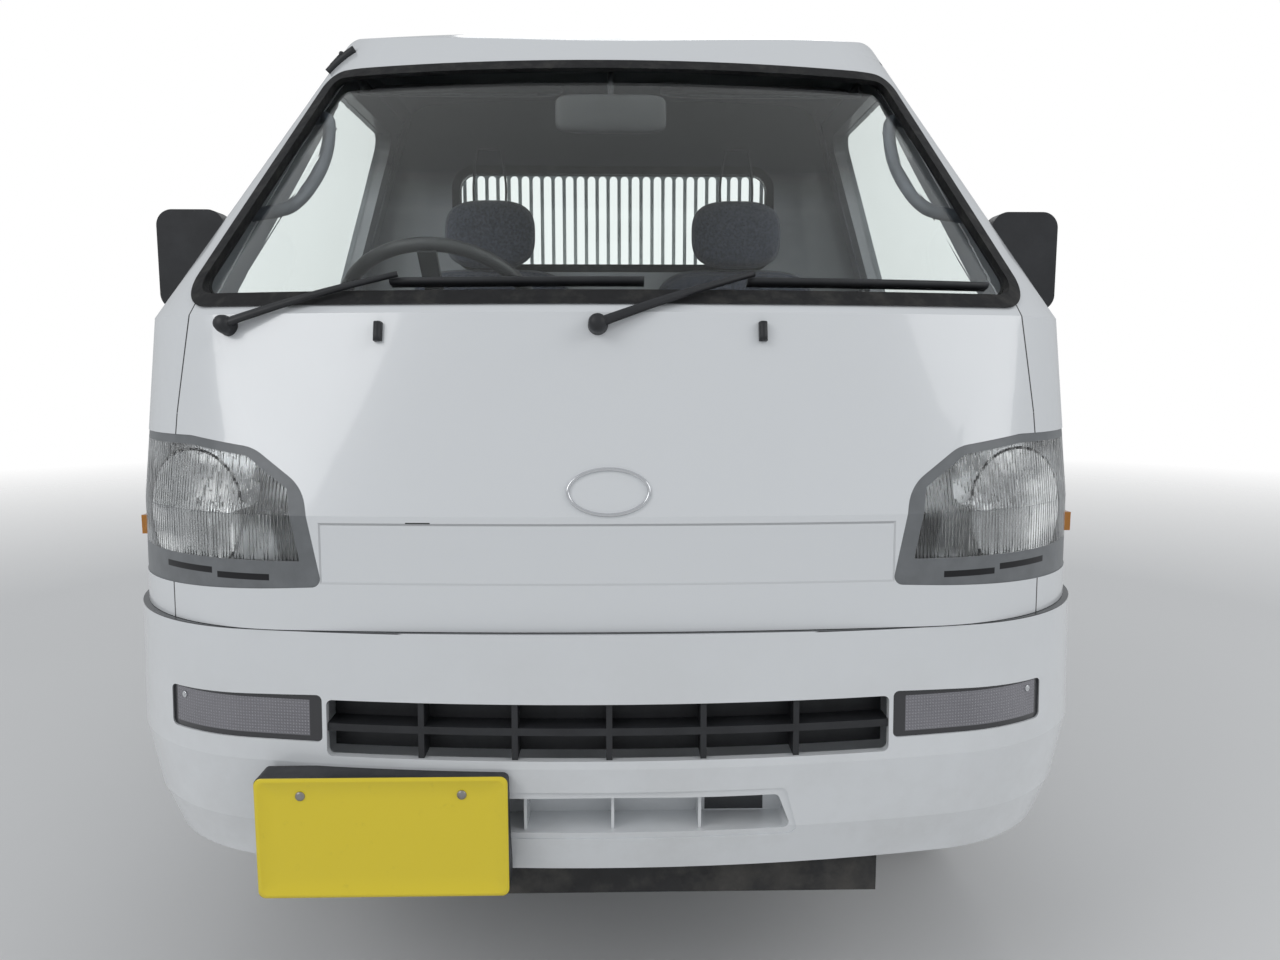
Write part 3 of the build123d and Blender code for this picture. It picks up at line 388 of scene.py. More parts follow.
class Finish:
    """A node material under work: a Principled shader and short ways to add patterns to it. A value is a
    node's output, a number or a colour."""

    def __init__(self, name, colour, roughness, metallic=0.0, coat=0.0, specular=0.5):
        self.material = bpy.data.materials.new(name)
        self.material.use_nodes = True
        self.tree = self.material.node_tree
        self.shader = self.tree.nodes["Principled BSDF"]
        self.bumps = None
        self.set("Base Color", colour)
        self.set("Roughness", roughness)
        self.set("Metallic", metallic)
        self.set("Coat Weight", coat)
        self.set("Coat Roughness", 0.06)
        self.set("Specular IOR Level", specular)
        self.place = self.add("ShaderNodeTexCoord").outputs["Object"]

    def feed(self, socket, value):
        """Links or sets a value on a socket."""
        if isinstance(value, bpy.types.NodeSocket):
            self.tree.links.new(value, socket)
        elif socket.type == "RGBA":
            socket.default_value = (*value, 1)
        else:
            socket.default_value = value

    def set(self, name, value):
        """Puts a value on one of the shader's sockets."""
        self.feed(self.shader.inputs[name], value)

    def add(self, kind, inputs=(), **settings):
        """A new node with its settings, and with values on its inputs."""
        node = self.tree.nodes.new(kind)
        for key, value in settings.items():
            setattr(node, key, value)
        for key, value in dict(inputs).items():
            self.feed(node.inputs[key], value)
        return node

    def noise(self, scale, detail, roughness=0.55, stretch=None):
        """Cloudy noise over the object, stretched where asked."""
        place = self.place
        if stretch:
            place = self.add("ShaderNodeMapping", {"Scale": stretch, "Vector": place}).outputs["Vector"]
        return self.add("ShaderNodeTexNoise", {
            "Scale": scale, "Detail": detail, "Roughness": roughness, "Vector": place}).outputs["Fac"]

    def wave(self, direction, scale):
        """Sine bands that follow each other along an axis."""
        return self.add("ShaderNodeTexWave", {"Scale": scale, "Vector": self.place},
                        bands_direction=direction, wave_profile="SIN").outputs["Fac"]

    def crossed(self, scale):
        """Bands along X times bands along Z."""
        return self.times(self.wave("X", scale), self.wave("Z", scale))

    def remap(self, source, low, high, to_low=0.0, to_high=1.0):
        """Carries one range to another and holds at its ends."""
        return self.add("ShaderNodeMapRange", {
            "Value": source, "From Min": low, "From Max": high, "To Min": to_low, "To Max": to_high,
        }, clamp=True).outputs["Result"]

    def speckle(self, scale, detail, low=0.0, high=1.0):
        """Noise spread over a range."""
        return self.remap(self.noise(scale, detail), 0.3, 0.7, low, high)

    def maths(self, operation, first, second=0.0):
        return self.add("ShaderNodeMath", {0: first, 1: second}, operation=operation).outputs["Value"]

    def plus(self, first, second):
        return self.maths("ADD", first, second)

    def less(self, first, second):
        """The first less the second."""
        return self.maths("SUBTRACT", first, second)

    def times(self, first, second):
        return self.maths("MULTIPLY", first, second)

    def part_of(self, axis):
        """One coordinate of the place."""
        return self.add("ShaderNodeSeparateXYZ", {"Vector": self.place}).outputs[axis]

    def across(self):
        """Distance from the middle plane."""
        return self.maths("ABSOLUTE", self.part_of("X"))

    def inside(self, *tests, sharp=0.0004):
        """One where every test value is above zero, nought elsewhere."""
        least = tests[0]
        for test in tests[1:]:
            least = self.maths("MINIMUM", least, test)
        return self.remap(least, 0.0, sharp)

    def line(self, x, z, start, end, inset):
        """How far a point lies below or outside of a line in the front view, less an inset."""
        dx, dz = end[0] - start[0], end[1] - start[1]
        size = math.hypot(dx, dz)
        offset = (start[1] * dx - start[0] * dz) / size - inset
        return self.plus(self.plus(self.times(x, dz / size), self.times(z, -dx / size)), offset)

    def reach(self, first, second, first_middle, second_middle, radius):
        """Distance of a point outside a circle."""
        a = self.maths("POWER", self.less(first, first_middle), 2.0)
        b = self.maths("POWER", self.less(second, second_middle), 2.0)
        return self.less(self.maths("SQRT", self.plus(a, b)), radius)

    def between(self, value, low, high):
        """Positive between two values, negative outside them."""
        return self.maths("MINIMUM", self.less(value, low), self.less(high, value))

    def blend(self, share, first, second, kind="MIX"):
        """The first colour with a share of the second."""
        node = self.add("ShaderNodeMix", {"Factor": share}, data_type="RGBA", blend_type=kind)
        for socket, value in zip([s for s in node.inputs if s.type == "RGBA"], (first, second)):
            self.feed(socket, value)
        return [s for s in node.outputs if s.type == "RGBA"][0]

    def bump(self, height, depth):
        """Adds a relief to those before it."""
        node = self.add("ShaderNodeBump", {"Strength": 1.0, "Distance": depth, "Height": height})
        if self.bumps:
            self.feed(node.inputs["Normal"], self.bumps)
        self.bumps = node.outputs["Normal"]
        self.set("Normal", self.bumps)

    def fade(self, share):
        """Lets the surface go clear by a share."""
        clear = self.add("ShaderNodeBsdfTransparent").outputs["BSDF"]
        target = self.tree.nodes["Material Output"].inputs["Surface"]
        mix_shaders(self.tree, share, self.shader.outputs["BSDF"], clear, target)


def scaled(colour, share):
    """A colour made darker or lighter by a share."""
    return tuple(min(1.0, c * share) for c in colour)


def weathered(f, colour, grime):
    """Paint with slow tone changes under road film, and the film's share: high near the ground, patchy."""
    clean = f.blend(f.remap(f.noise(1.6, 3), 0.35, 0.65), scaled(colour, 0.985), colour)
    low = f.remap(f.part_of("Z"), 0.28, 0.75, 1.0, 0.0)
    film = f.times(f.times(low, f.remap(f.noise(7, 6, 0.65), 0.42, 0.78)), grime)
    return f.blend(film, clean, FILM), film


def glossy(f, dull, share):
    """Gloss of paint: slightly uneven, rougher by a share of a mask, over a faint waviness."""
    f.set("Roughness", f.plus(f.speckle(30, 5, 0.22, 0.27), f.times(dull, share)))
    f.bump(f.noise(180, 2), 0.00002)


def painted_white(name, colour):
    """Gloss paint: faint waviness, small tone changes, and road film that grows towards the ground."""
    f = Finish(name, colour, 0.28, coat=0.8)
    tone, film = weathered(f, colour, 0.5)
    f.set("Base Color", tone)
    glossy(f, film, 0.4)
    return f.material


def bumper_paint(name, colour):
    """Painted bumper: body colour with a little film, a near-black field of painted shade deep in its lower
    recess where an opening would be, and a dark strip of painted shade from the gap on its ledge, as far as 8
    mm from the cab's skin. That skin is a wide arc in the middle and a round corner further out."""
    f = Finish(name, colour, 0.28, coat=0.8)
    tone, _ = weathered(f, colour, 0.35)
    x, y, z = f.across(), f.part_of("Y"), f.part_of("Z")
    bow = f.reach(x, y, 0.0, FRONT + 4.534, 4.5)
    corner = f.reach(x, y, 0.408, FRONT + 0.381, 0.328)
    outer = f.maths("GREATER_THAN", x, 0.44)
    skin = f.plus(bow, f.times(outer, f.less(corner, bow)))
    # Painted shade of the gap between bumper and cab: a dark strip on the ledge next to the cab's skin
    ledge = f.inside(f.less(z, 0.6945), f.less(0.008, skin))
    # Painted shade where an opening would be: a dark field deep in the lower recess
    hole_shade = f.inside(f.between(f.part_of("X"), 0.133, 0.216), f.between(z, 0.423, 0.472),
                    f.less(y, FRONT + 0.075))
    # Both marks of painted shade take the same near-black colour
    f.set("Base Color", f.blend(f.maths("MAXIMUM", ledge, hole_shade), tone, (0.03, 0.032, 0.036)))
    glossy(f, ledge, 0.4)
    return f.material


def cab_paint(name, colour, trim):
    """Body paint outside and grey trim inside: the inside is where the surface faces the cab's middle, and
    towards the roof it goes to near black as painted shade. Relief and colour give the front panel a sunk band
    with a dark painted shadow line along its upper edge and a short slot, the front corners their seams, and
    each door the dark recess of its handle."""
    f = Finish(name, colour, 0.28, coat=0.6)
    x, y, z = f.across(), f.part_of("Y"), f.part_of("Z")
    middle = f.add("ShaderNodeVectorMath", {0: f.place, 1: (0.0, FRONT + 0.80, 1.05)}, operation="SUBTRACT")
    way = f.add("ShaderNodeTexCoord").outputs["Normal"]
    facing = f.add("ShaderNodeVectorMath", {0: way, 1: middle.outputs["Vector"]}, operation="DOT_PRODUCT")
    inside = f.remap(facing.outputs["Value"], 0.0, -0.01)
    on_front = f.less(FRONT + 0.1, y)
    mark = f.inside(f.between(f.part_of("X"), -0.267, -0.234), f.between(z, 0.8402, 0.8424), on_front)
    sill = 0.98
    upright = f.inside(f.between(x, 0.6086, 0.6114), f.less(sill, z))
    rise = f.line(x, z, (0.610, sill), (0.585, 1.318), 0.0)
    leaning = f.inside(f.between(rise, -0.0014, 0.0014), f.less(z, sill))
    seams = f.times(f.maths("MAXIMUM", upright, leaning), f.inside(f.less(FRONT + 0.42, y)))
    step = f.inside(f.between(z, 0.759, 0.841), f.less(0.383, x), on_front, sharp=0.003)
    # Painted shadow: a thin line along the sunk band's upper edge, where the upper panel overhangs it
    edge = f.times(f.inside(f.between(z, 0.8398, 0.8412)), step)
    grip = f.inside(f.between(y, FRONT + 1.1405, FRONT + 1.2615), f.between(z, 0.9025, 0.9475),
                    f.less(x, 0.70))
    outer, _ = weathered(f, colour, 0.4)
    outer = f.blend(f.maths("MAXIMUM", mark, seams), outer, GAP)
    # The painted shadow line goes dark grey
    outer = f.blend(f.times(edge, 0.6), outer, (0.16, 0.165, 0.17))
    outer = f.blend(grip, outer, (0.02, 0.021, 0.024))
    inner = f.blend(f.speckle(14, 5), scaled(trim, 0.9), trim)
    # Painted shade under the roof: the inside goes to near black between 1.44 and 1.54 m up
    inner = f.blend(f.remap(z, 1.44, 1.54), inner, (0.018, 0.020, 0.024))
    f.set("Base Color", f.blend(inside, outer, inner))
    f.bump(f.less(1.0, f.maths("MAXIMUM", step, grip)), 0.003)
    glossy(f, inside, 0.32)
    return f.material


def moulded(name, colour, roughness, grain=320, depth=0.00012):
    """Grained plastic: a leather-like noise in height, and cloudy tone."""
    f = Finish(name, colour, roughness)
    f.set("Base Color", f.blend(f.speckle(18, 6), scaled(colour, 0.8), scaled(colour, 1.35)))
    f.set("Roughness", f.speckle(40, 4, roughness - 0.06, roughness + 0.08))
    f.bump(f.noise(grain, 3), depth)
    return f.material


def patchy(f, colour, other, patches, gloss, relief):
    """A colour with another one in patches. Patches are a noise, its low and high, and the most that the
    other colour gets. Gloss is a speckle of the roughness, and relief is a noise with its depth."""
    noise, low, high, most = patches
    f.set("Base Color", f.blend(f.remap(f.noise(*noise), low, high, 0.0, most), colour, other))
    f.set("Roughness", f.speckle(*gloss))
    f.bump(f.noise(*relief[0]), relief[1])
    return f.material


def rubber(name, colour):
    """Rubber: fine matte speckle with pale dust in patches."""
    return patchy(Finish(name, colour, 0.72, specular=0.35), colour, (0.10, 0.095, 0.085),
                  ((24, 7, 0.65), 0.5, 0.8, 0.5), (60, 4, 0.64, 0.80), ((500, 3), 0.0001))


def tread_rubber(name, colour):
    """Tyre rubber: matte, with dust in fine patches."""
    return patchy(Finish(name, colour, 0.75, specular=0.3), colour, (0.085, 0.078, 0.068),
                  ((30, 8, 0.7), 0.42, 0.7, 0.55), (60, 4, 0.66, 0.86), ((380, 4), 0.00025))


def chassis_black(name, colour):
    """Black chassis paint under a coat of grey road dust."""
    return patchy(Finish(name, colour, 0.5), colour, (0.13, 0.12, 0.105),
                  ((11, 7, 0.65), 0.42, 0.75, 0.65), (30, 5, 0.42, 0.7), ((90, 5), 0.0003))


def plate_yellow(name, colour):
    """Enamelled plate: even yellow with scuffs that show a little darker."""
    return patchy(Finish(name, colour, 0.35, coat=0.3), colour, scaled(colour, 0.72),
                  ((50, 8, 0.7), 0.60, 0.75, 0.35), (80, 4, 0.28, 0.45), ((200, 3), 0.00005))


def bare_metal(name, colour, roughness, rust):
    """Steel with brown rust in patches and a rougher skin there."""
    f = Finish(name, colour, roughness, metallic=0.85)
    spots = f.remap(f.noise(16, 8, 0.7), 0.52, 0.70, 0.0, rust)
    f.set("Base Color", f.blend(spots, colour, (0.16, 0.075, 0.035)))
    f.set("Roughness", f.plus(f.speckle(50, 4, roughness - 0.08, roughness + 0.1), f.times(spots, 0.5)))
    f.bump(f.noise(140, 5), 0.0002)
    return f.material


def lit_through(f):
    """Lets the lamps' light pass the glass, so that what is behind it isn't in the dark."""
    f.fade(f.add("ShaderNodeLightPath").outputs["Is Shadow Ray"])
    return f.material


def window_glass(name, tint):
    """Clear safety glass with a faint green tint and a little dust."""
    f = Finish(name, tint, 0.0)
    f.set("Transmission Weight", 1.0)
    f.set("IOR", 1.22)
    f.set("Roughness", f.remap(f.noise(7, 6, 0.6, (1.0, 1.0, 0.35)), 0.60, 0.80, 0.0, 0.03))
    return lit_through(f)


def headlamp_cover(name, glass, bezel):
    """Lamp front: fluted clear glass inside a grey frame that follows the lamp's outline, with two vent slots
    in the frame's foot drawn in near-black painted shade."""
    f = Finish(name, glass, 0.05, specular=0.4)
    x, z = f.across(), f.part_of("Z")
    tests = [f.line(x, z, LAMP_OUTLINE[k], LAMP_OUTLINE[k + 1], inset)
             for k, inset in enumerate((0.022, 0.014, 0.012, 0.012))]
    clear = f.inside(*tests, f.less(z, 0.789))
    # Painted shade: the two vent slots are drawn near black on the solid frame
    slots = f.maths("MAXIMUM",
                    f.inside(f.between(x, 0.452, 0.530), f.between(z, 0.7625, 0.7715)),
                    f.inside(f.between(x, 0.538, 0.622), f.between(z, 0.7675, 0.7765)))
    frame_tone = f.blend(f.speckle(40, 4), scaled(bezel, 0.85), bezel)
    frame_tone = f.blend(slots, frame_tone, (0.012, 0.012, 0.014))
    f.set("Base Color", f.blend(clear, frame_tone, glass))
    f.set("Transmission Weight", clear)
    f.set("IOR", 1.45)
    f.set("Roughness", f.remap(clear, 0.0, 1.0, 0.38, 0.04))
    f.bump(f.times(f.wave("X", 62), clear), 0.0011)
    return lit_through(f)


def headlamp_bowl(name, colour):
    """Lamp body behind the glass: a bright round reflector in a duller body, both with painted reflections,
    light and dark fields from a stretched noise.
    """
    f = Finish(name, colour, 0.3)
    far = f.reach(f.across(), f.part_of("Z"), 0.575, 0.845, 0.0)
    # Painted reflections: light and dark fields in the colour of the reflector and of the body round it
    painted_reflections = f.noise(9, 2, 0.4, (1.0, 1.0, 2.2))
    dull = f.blend(f.remap(painted_reflections, 0.40, 0.62), scaled(colour, 0.55), scaled(colour, 2.6))
    bright = f.blend(f.remap(painted_reflections, 0.42, 0.60), (0.42, 0.43, 0.44), (0.92, 0.93, 0.94))
    bowl = f.remap(far, 0.088, 0.084)
    f.set("Base Color", f.blend(bowl, dull, bright))
    f.set("Metallic", f.remap(bowl, 0.0, 1.0, 0.75, 1.0))
    f.set("Roughness", f.remap(bowl, 0.0, 1.0, 0.30, 0.12))
    f.bump(f.times(f.times(far, far), bowl), 1.2)
    f.bump(f.noise(22, 2), 0.0015)
    return f.material


def turn_lamp_cover(name, colour):
    """Turn lamp: smoky clear plastic with a fine square grid pressed in and painted lighter as painted
    highlights, and a dark frame at its edge.
    """
    f = Finish(name, colour, 0.14, coat=0.6)
    grid = f.crossed(75)
    lens = f.inside(f.between(f.across(), 0.402, 0.607), f.between(f.part_of("Z"), 0.553, 0.602))
    glow = f.blend(f.remap(f.noise(6, 2), 0.35, 0.65), scaled(colour, 0.75), colour)
    # Painted highlights: the colour is lighter along the pressed grid
    f.set("Base Color", f.blend(lens, (0.028, 0.028, 0.032), f.blend(grid, glow, scaled(colour, 1.25))))
    f.bump(f.times(grid, lens), 0.0009)
    return f.material


def rear_lamp_cover(name):
    """Rear lamp in three fields: clear inside, amber in the middle, red outside, all with square prisms."""
    f = Finish(name, (0.5, 0.02, 0.02), 0.12, coat=0.5)
    x = f.across()
    prisms = f.crossed(60)
    inner = f.blend(f.inside(f.less(x, 0.498)), (0.62, 0.62, 0.62), (0.80, 0.30, 0.03))
    fields = f.blend(f.inside(f.less(x, 0.572)), inner, (0.50, 0.015, 0.02))
    # Painted light and shade on the prisms: the colour is darker where their relief is low
    shade = f.blend(prisms, (0.72, 0.72, 0.72), (1.0, 1.0, 1.0))
    f.set("Base Color", f.blend(1.0, fields, shade, "MULTIPLY"))
    f.bump(prisms, 0.0008)
    return f.material


def coloured_lens(name, colour):
    """Moulded lamp cover: colour with square prisms pressed in, as waves along X and Z, with painted light and
    shade on the prisms in its colour.
    """
    f = Finish(name, colour, 0.12, coat=0.4)
    prisms = f.crossed(180)
    # Painted light and shade on the prisms: lighter on their high parts, darker in their hollows
    f.set("Base Color", f.blend(prisms, scaled(colour, 0.7), scaled(colour, 1.15)))
    f.bump(prisms, 0.0008)
    return f.material


def seat_cloth(name, colour):
    """Woven seat cloth: two crossed sets of fine threads in height, and flecks in colour."""
    f = Finish(name, colour, 0.9, specular=0.2)
    f.set("Sheen Weight", 0.25)
    f.set("Base Color", f.blend(f.remap(f.noise(160, 3), 0.4, 0.65), colour, scaled(colour, 2.2)))
    f.bump(f.maths("MAXIMUM", f.wave("X", 420), f.wave("Z", 420)), 0.0003)
    return f.material


# Pieces

class TRUCK_OT_finishes(bpy.types.Operator):
    """Give every solid its paint, metal, glass, rubber or moulded finish"""

    bl_idname = "truck.finishes"
    bl_label = "Finishes"

    def execute(self, context):
        s = context.scene.truck_paint
        white, trim = tuple(s.white), tuple(s.trim)
        FINISHES.update({
            "white_paint": painted_white("bed_paint", white),
            "cab_paint": cab_paint("cab_paint", white, trim),
            "white_plastic": bumper_paint("bumper_finish", scaled(white, 0.99)),
            "black_plastic": moulded("dark_plastic", tuple(s.dark), 0.5),
            "black_rubber": rubber("window_rubber", (0.014, 0.014, 0.015)),
            "clear_glass": window_glass("window_glass", (0.93, 0.97, 0.96)),
            "lamp_glass": headlamp_cover("headlamp_glass", (0.93, 0.95, 0.95), (0.20, 0.21, 0.22)),
            "turn_glass": turn_lamp_cover("turn_lamp_cover", (0.24, 0.235, 0.26)),
            "lamp_body": headlamp_bowl("lamp_housing", (0.16, 0.165, 0.17)),
            "amber_lens": coloured_lens("repeater_amber", (0.85, 0.33, 0.04)),
            "red_lens": rear_lamp_cover("rear_lamp_cover"),
            "chassis_paint": chassis_black("chassis_black", (0.018, 0.018, 0.019)),
            "cast_metal": bare_metal("cast_iron", (0.16, 0.16, 0.165), 0.6, 0.4),
            "bare_steel": bare_metal("exhaust_steel", (0.36, 0.35, 0.34), 0.42, 0.6),
            "wheel_paint": bare_metal("wheel_silver", (0.52, 0.53, 0.55), 0.38, 0.08),
            "tyre_rubber": tread_rubber("tyre_rubber", (0.014, 0.014, 0.015)),
            "dash_plastic": moulded("dash_grain", scaled(trim, 0.5), 0.6, 240, 0.0002),
            "seat_cloth": seat_cloth("seat_weave", tuple(s.cloth)),
            "plate": plate_yellow("plate_enamel", tuple(s.plate)),
            "bright": bare_metal("bright_metal", (0.72, 0.73, 0.75), 0.14, 0.02),
            "handle": moulded("handle_plastic", (0.09, 0.10, 0.12), 0.5),
            "mirror": bare_metal("mirror_glass", (0.80, 0.82, 0.84), 0.09, 0.0),
            "visor": seat_cloth("visor_vinyl", (0.035, 0.037, 0.042)),
        })
        own = dict.fromkeys(("cab_floor", "cab_side_left", "cab_side_right", "cab_front_panel",
                             "cab_back_panel", "roof_panel", "door_left", "door_right"), "cab_paint")
        own.update(turn_lamps="turn_glass", steering_wheel="black_plastic")
        for row in frame["record"]["subparts"]:
            mesh = frame["nodes"][row["node"]].data
            mesh.materials.clear()
            mesh.materials.append(FINISHES[own.get(row["node"], row["material_slot"])])
        return {"FINISHED"}


class TRUCK_OT_tyres(bpy.types.Operator):
    """Build the four tyres with ribbed tread in place of the plain ones"""

    bl_idname = "truck.tyres"
    bl_label = "Tyres"

    def execute(self, context):
        s = context.scene.truck_tyre
        grid = tyre_surface(s.radius, s.width, s.groove, s.pitches)
        for name, side, half_track, along in WHEELS:
            hub = np.array([side * half_track, along, s.radius])
            made = write_mesh("tread_" + name, [(grid + hub, True, True)], "tyre_rubber", "wheel_" + name)
            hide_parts("tyre_" + name)
        return {"FINISHED"}


class TRUCK_OT_wheel_nuts(bpy.types.Operator):
    """Add the nuts and the hub cap of each wheel"""

    bl_idname = "truck.wheel_nuts"
    bl_label = "Wheel nuts"

    def execute(self, context):
        circle = 0.055
        cap = [(0.0, 0.0), (0.0, 0.031), (0.012, 0.030), (0.018, 0.024), (0.020, 0.012), (0.0202, 0.0)]
        for name, side, half_track, along in WHEELS:
            hub = np.array([side * (half_track + 0.028), along, AXLE_HEIGHT])
            patches = []
            for turn in np.radians([45, 135, 225, 315]):
                centre = hub + [0, circle * math.cos(turn), circle * math.sin(turn)]
                patches.append(hexagon_nut(centre, 0.021, 0.016, side))
            patches.append(turned(hub, (side, 0, 0), cap, 40))
            write_mesh("nuts_" + name, patches, "bare_steel", "wheel_" + name)
        return {"FINISHED"}


class TRUCK_OT_seats(bpy.types.Operator):
    """Build the two padded seats in place of the plain solids"""

    bl_idname = "truck.seats"
    bl_label = "Seats"

    def execute(self, context):
        lean = -4.6
        for name, x in (("driver_seat", -0.31), ("passenger_seat", 0.31)):
            pads = (
                ("cushion", pad((0.220, 0.205, 0.062), 5.0, 0.012, (x, FRONT + 1.001, 0.706))),
                ("back", pad((0.212, 0.040, 0.310), 5.0, 0.010, (x, FRONT + 1.271, 0.966), lean)),
                ("headrest", pad((0.109, 0.037, 0.082), 3.0, 0.004, (x, FRONT + 1.279, 1.370), lean)),
            )
            for part, patch in pads:
                made = write_mesh(f"{name}_{part}", [patch], "seat_cloth")
                if part == "cushion":
                    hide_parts(name)
        return {"FINISHED"}


class TRUCK_OT_plate(bpy.types.Operator):
    """Add the blank yellow number plate with its pressed rim and bolts"""

    bl_idname = "truck.plate"
    bl_label = "Number plate"

    def execute(self, context):
        s = context.scene.truck_plate
        low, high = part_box("front_plate_carrier")
        centre = np.array([(low.x + high.x) / 2, low.y, (low.z + high.z) / 2])
        face = -0.0010
        steps = ((0.0, 0.0), (0.0, -0.0008), (0.0015, face), (0.003, face - s.rim),
                 (0.0055, face - s.rim), (0.007, face), (0.03, face))
        rings = [(1 - inset / (s.width / 2), 1 - inset / (s.height / 2), out) for inset, out in steps]
        write_mesh("number_plate", [round_sheet(centre, s.width, s.height, 0.010, 96, rings)], "plate")
        head = [(0.0, 0.0), (0.0, 0.0065), (0.002, 0.006), (0.003, 0.003), (0.0031, 0.0)]
        up = s.height / 2 - 0.024
        bolts = [turned(centre + [x, -0.0004, up], (0, -1, 0), head, 20) for x in (-0.105, 0.105)]
        write_mesh("plate_bolts", bolts, "bare_steel")
        return {"FINISHED"}


class TRUCK_OT_badge_ring(bpy.types.Operator):
    """Add the plain bright ring round the bare badge place"""

    bl_idname = "truck.badge_ring"
    bl_label = "Badge ring"

    def execute(self, context):
        turn = around(72)
        places = np.stack([0.0535 * np.cos(turn), 0.882 + 0.0295 * np.sin(turn)], axis=1)
        spots, ways = front_points(["cab_front_panel"], places)
        write_mesh("badge_ring", [tube(spots + ways * 0.0012, 0.0024, 10, True)], "bright")
        return {"FINISHED"}


class TRUCK_OT_lamp_trim(bpy.types.Operator):
    """Add the turn lamps' screws"""

    bl_idname = "truck.lamp_trim"
    bl_label = "Lamp trim"

    def execute(self, context):
        spots, ways = front_points(["turn_lamps"], [(-0.592, 0.592), (0.592, 0.592)])
        head = [(0.0002, 0.0), (0.0002, 0.0048), (0.0014, 0.0046), (0.0020, 0.003), (0.0012, 0.0022),
                (0.0012, 0.0)]
        screws = [turned(spot, way, head) for spot, way in zip(spots, ways)]
        write_mesh("turn_lamp_screws", screws, "bright")
        return {"FINISHED"}


class TRUCK_OT_wipers(bpy.types.Operator):
    """Add the two wipers on their pivots and the two washer jets"""

    bl_idname = "truck.wipers"
    bl_label = "Wipers and jets"

    def execute(self, context):
        skin = ["cab_front_panel", "windscreen_seal", "windscreen"]
        pivot_z, blade_z = 1.100, 1.156
        cap = [(0.0, 0.0), (0.0, 0.0135), (0.016, 0.0125), (0.023, 0.010), (0.0255, 0.005), (0.026, 0.0)]
        bar = [(-1, -0.0028), (-0.6, 0.0028), (0.6, 0.0028), (1, -0.0028)]
        strip = both_halves([
            (0.0020, 0.0160), (0.0042, 0.0125), (0.0042, 0.0075), (0.0030, 0.0060), (0.0012, 0.0004)])
        jet = both_halves([(0.003, 0.010), (0.0055, 0.006), (0.0055, 0.0002)])
        share = np.linspace(0, 1, 24)[:, None]
        patches = []
        for pivot, arm_end, blade_start, blade_end in (
            (-0.531, -0.291, -0.305, 0.049),
            (-0.014, 0.200, 0.193, 0.557),
        ):
            foot, foot_way = front_points(skin, [(pivot, pivot_z)])
            patches.append(turned(foot[0], foot_way[0], cap))
            end, end_way = front_points(["windscreen"], [(arm_end, blade_z)])
            start = foot + foot_way * 0.017
            finish = end + end_way * 0.024
            arm = start + (finish - start) * share + np.array([0, -0.006, 0.003]) * np.sin(np.pi * share)
            patches.append(swept(arm, np.repeat(end_way, 24, axis=0), bar, 0.0085 - 0.0045 * share[:, 0]))
            places = [(x, blade_z) for x in np.linspace(blade_start, blade_end, 40)]
            patches.append(swept(*front_points(["windscreen"], places), strip))
        write_mesh("wipers", patches, "black_plastic")
        jets = []
        for x in (-0.311, 0.208):
            places = [(x, z) for z in (1.079, 1.085, 1.092, 1.099, 1.104)]
            jets.append(swept(*front_points(["cab_front_panel"], places), jet))
        write_mesh("washer_jets", jets, "black_plastic")
        return {"FINISHED"}


class TRUCK_OT_aerial(bpy.types.Operator):
    """Add the short aerial on the corner of the roof"""

    bl_idname = "truck.aerial"
    bl_label = "Aerial"

    def execute(self, context):
        starts = [(x, FRONT + 0.75, 2.0) for x in np.linspace(-0.545, -0.493, 12)]
        spots, ways = skin_points(["roof_panel", "cab_side_right"], starts, (0, 0, -1))
        base = swept(spots, ways, both_halves([(0.004, 0.010), (0.008, 0.006), (0.009, 0.0002)]))
        foot = spots[2] + ways[2] * 0.008
        tip = foot + np.array([0.020, 0.003, 0.022])
        turn = np.linspace(-np.pi / 2, np.pi / 2, 12)
        ball = turned(tip, (1, 0, 0), 0.005 * np.stack([np.sin(turn), np.cos(turn)], axis=1), 20)
        rod = tube([foot, (foot + tip) / 2, tip], 0.0028, 10)
        write_mesh("aerial", [base, rod, ball], "black_plastic")
        return {"FINISHED"}


class TRUCK_OT_bumper_ribs(bpy.types.Operator):
    """Add the three thin ribs in the bumper's lower recess"""

    bl_idname = "truck.bumper_ribs"
    bl_label = "Bumper ribs"

    def execute(self, context):
        ribs = [block(x - 0.002, x + 0.002, FRONT + 0.036, FRONT + 0.0898, 0.4222, 0.4728)
                for x in (-0.114, 0.004, 0.122)]
        write_mesh("bumper_ribs", ribs, "white_plastic", smooth=False)
        return {"FINISHED"}


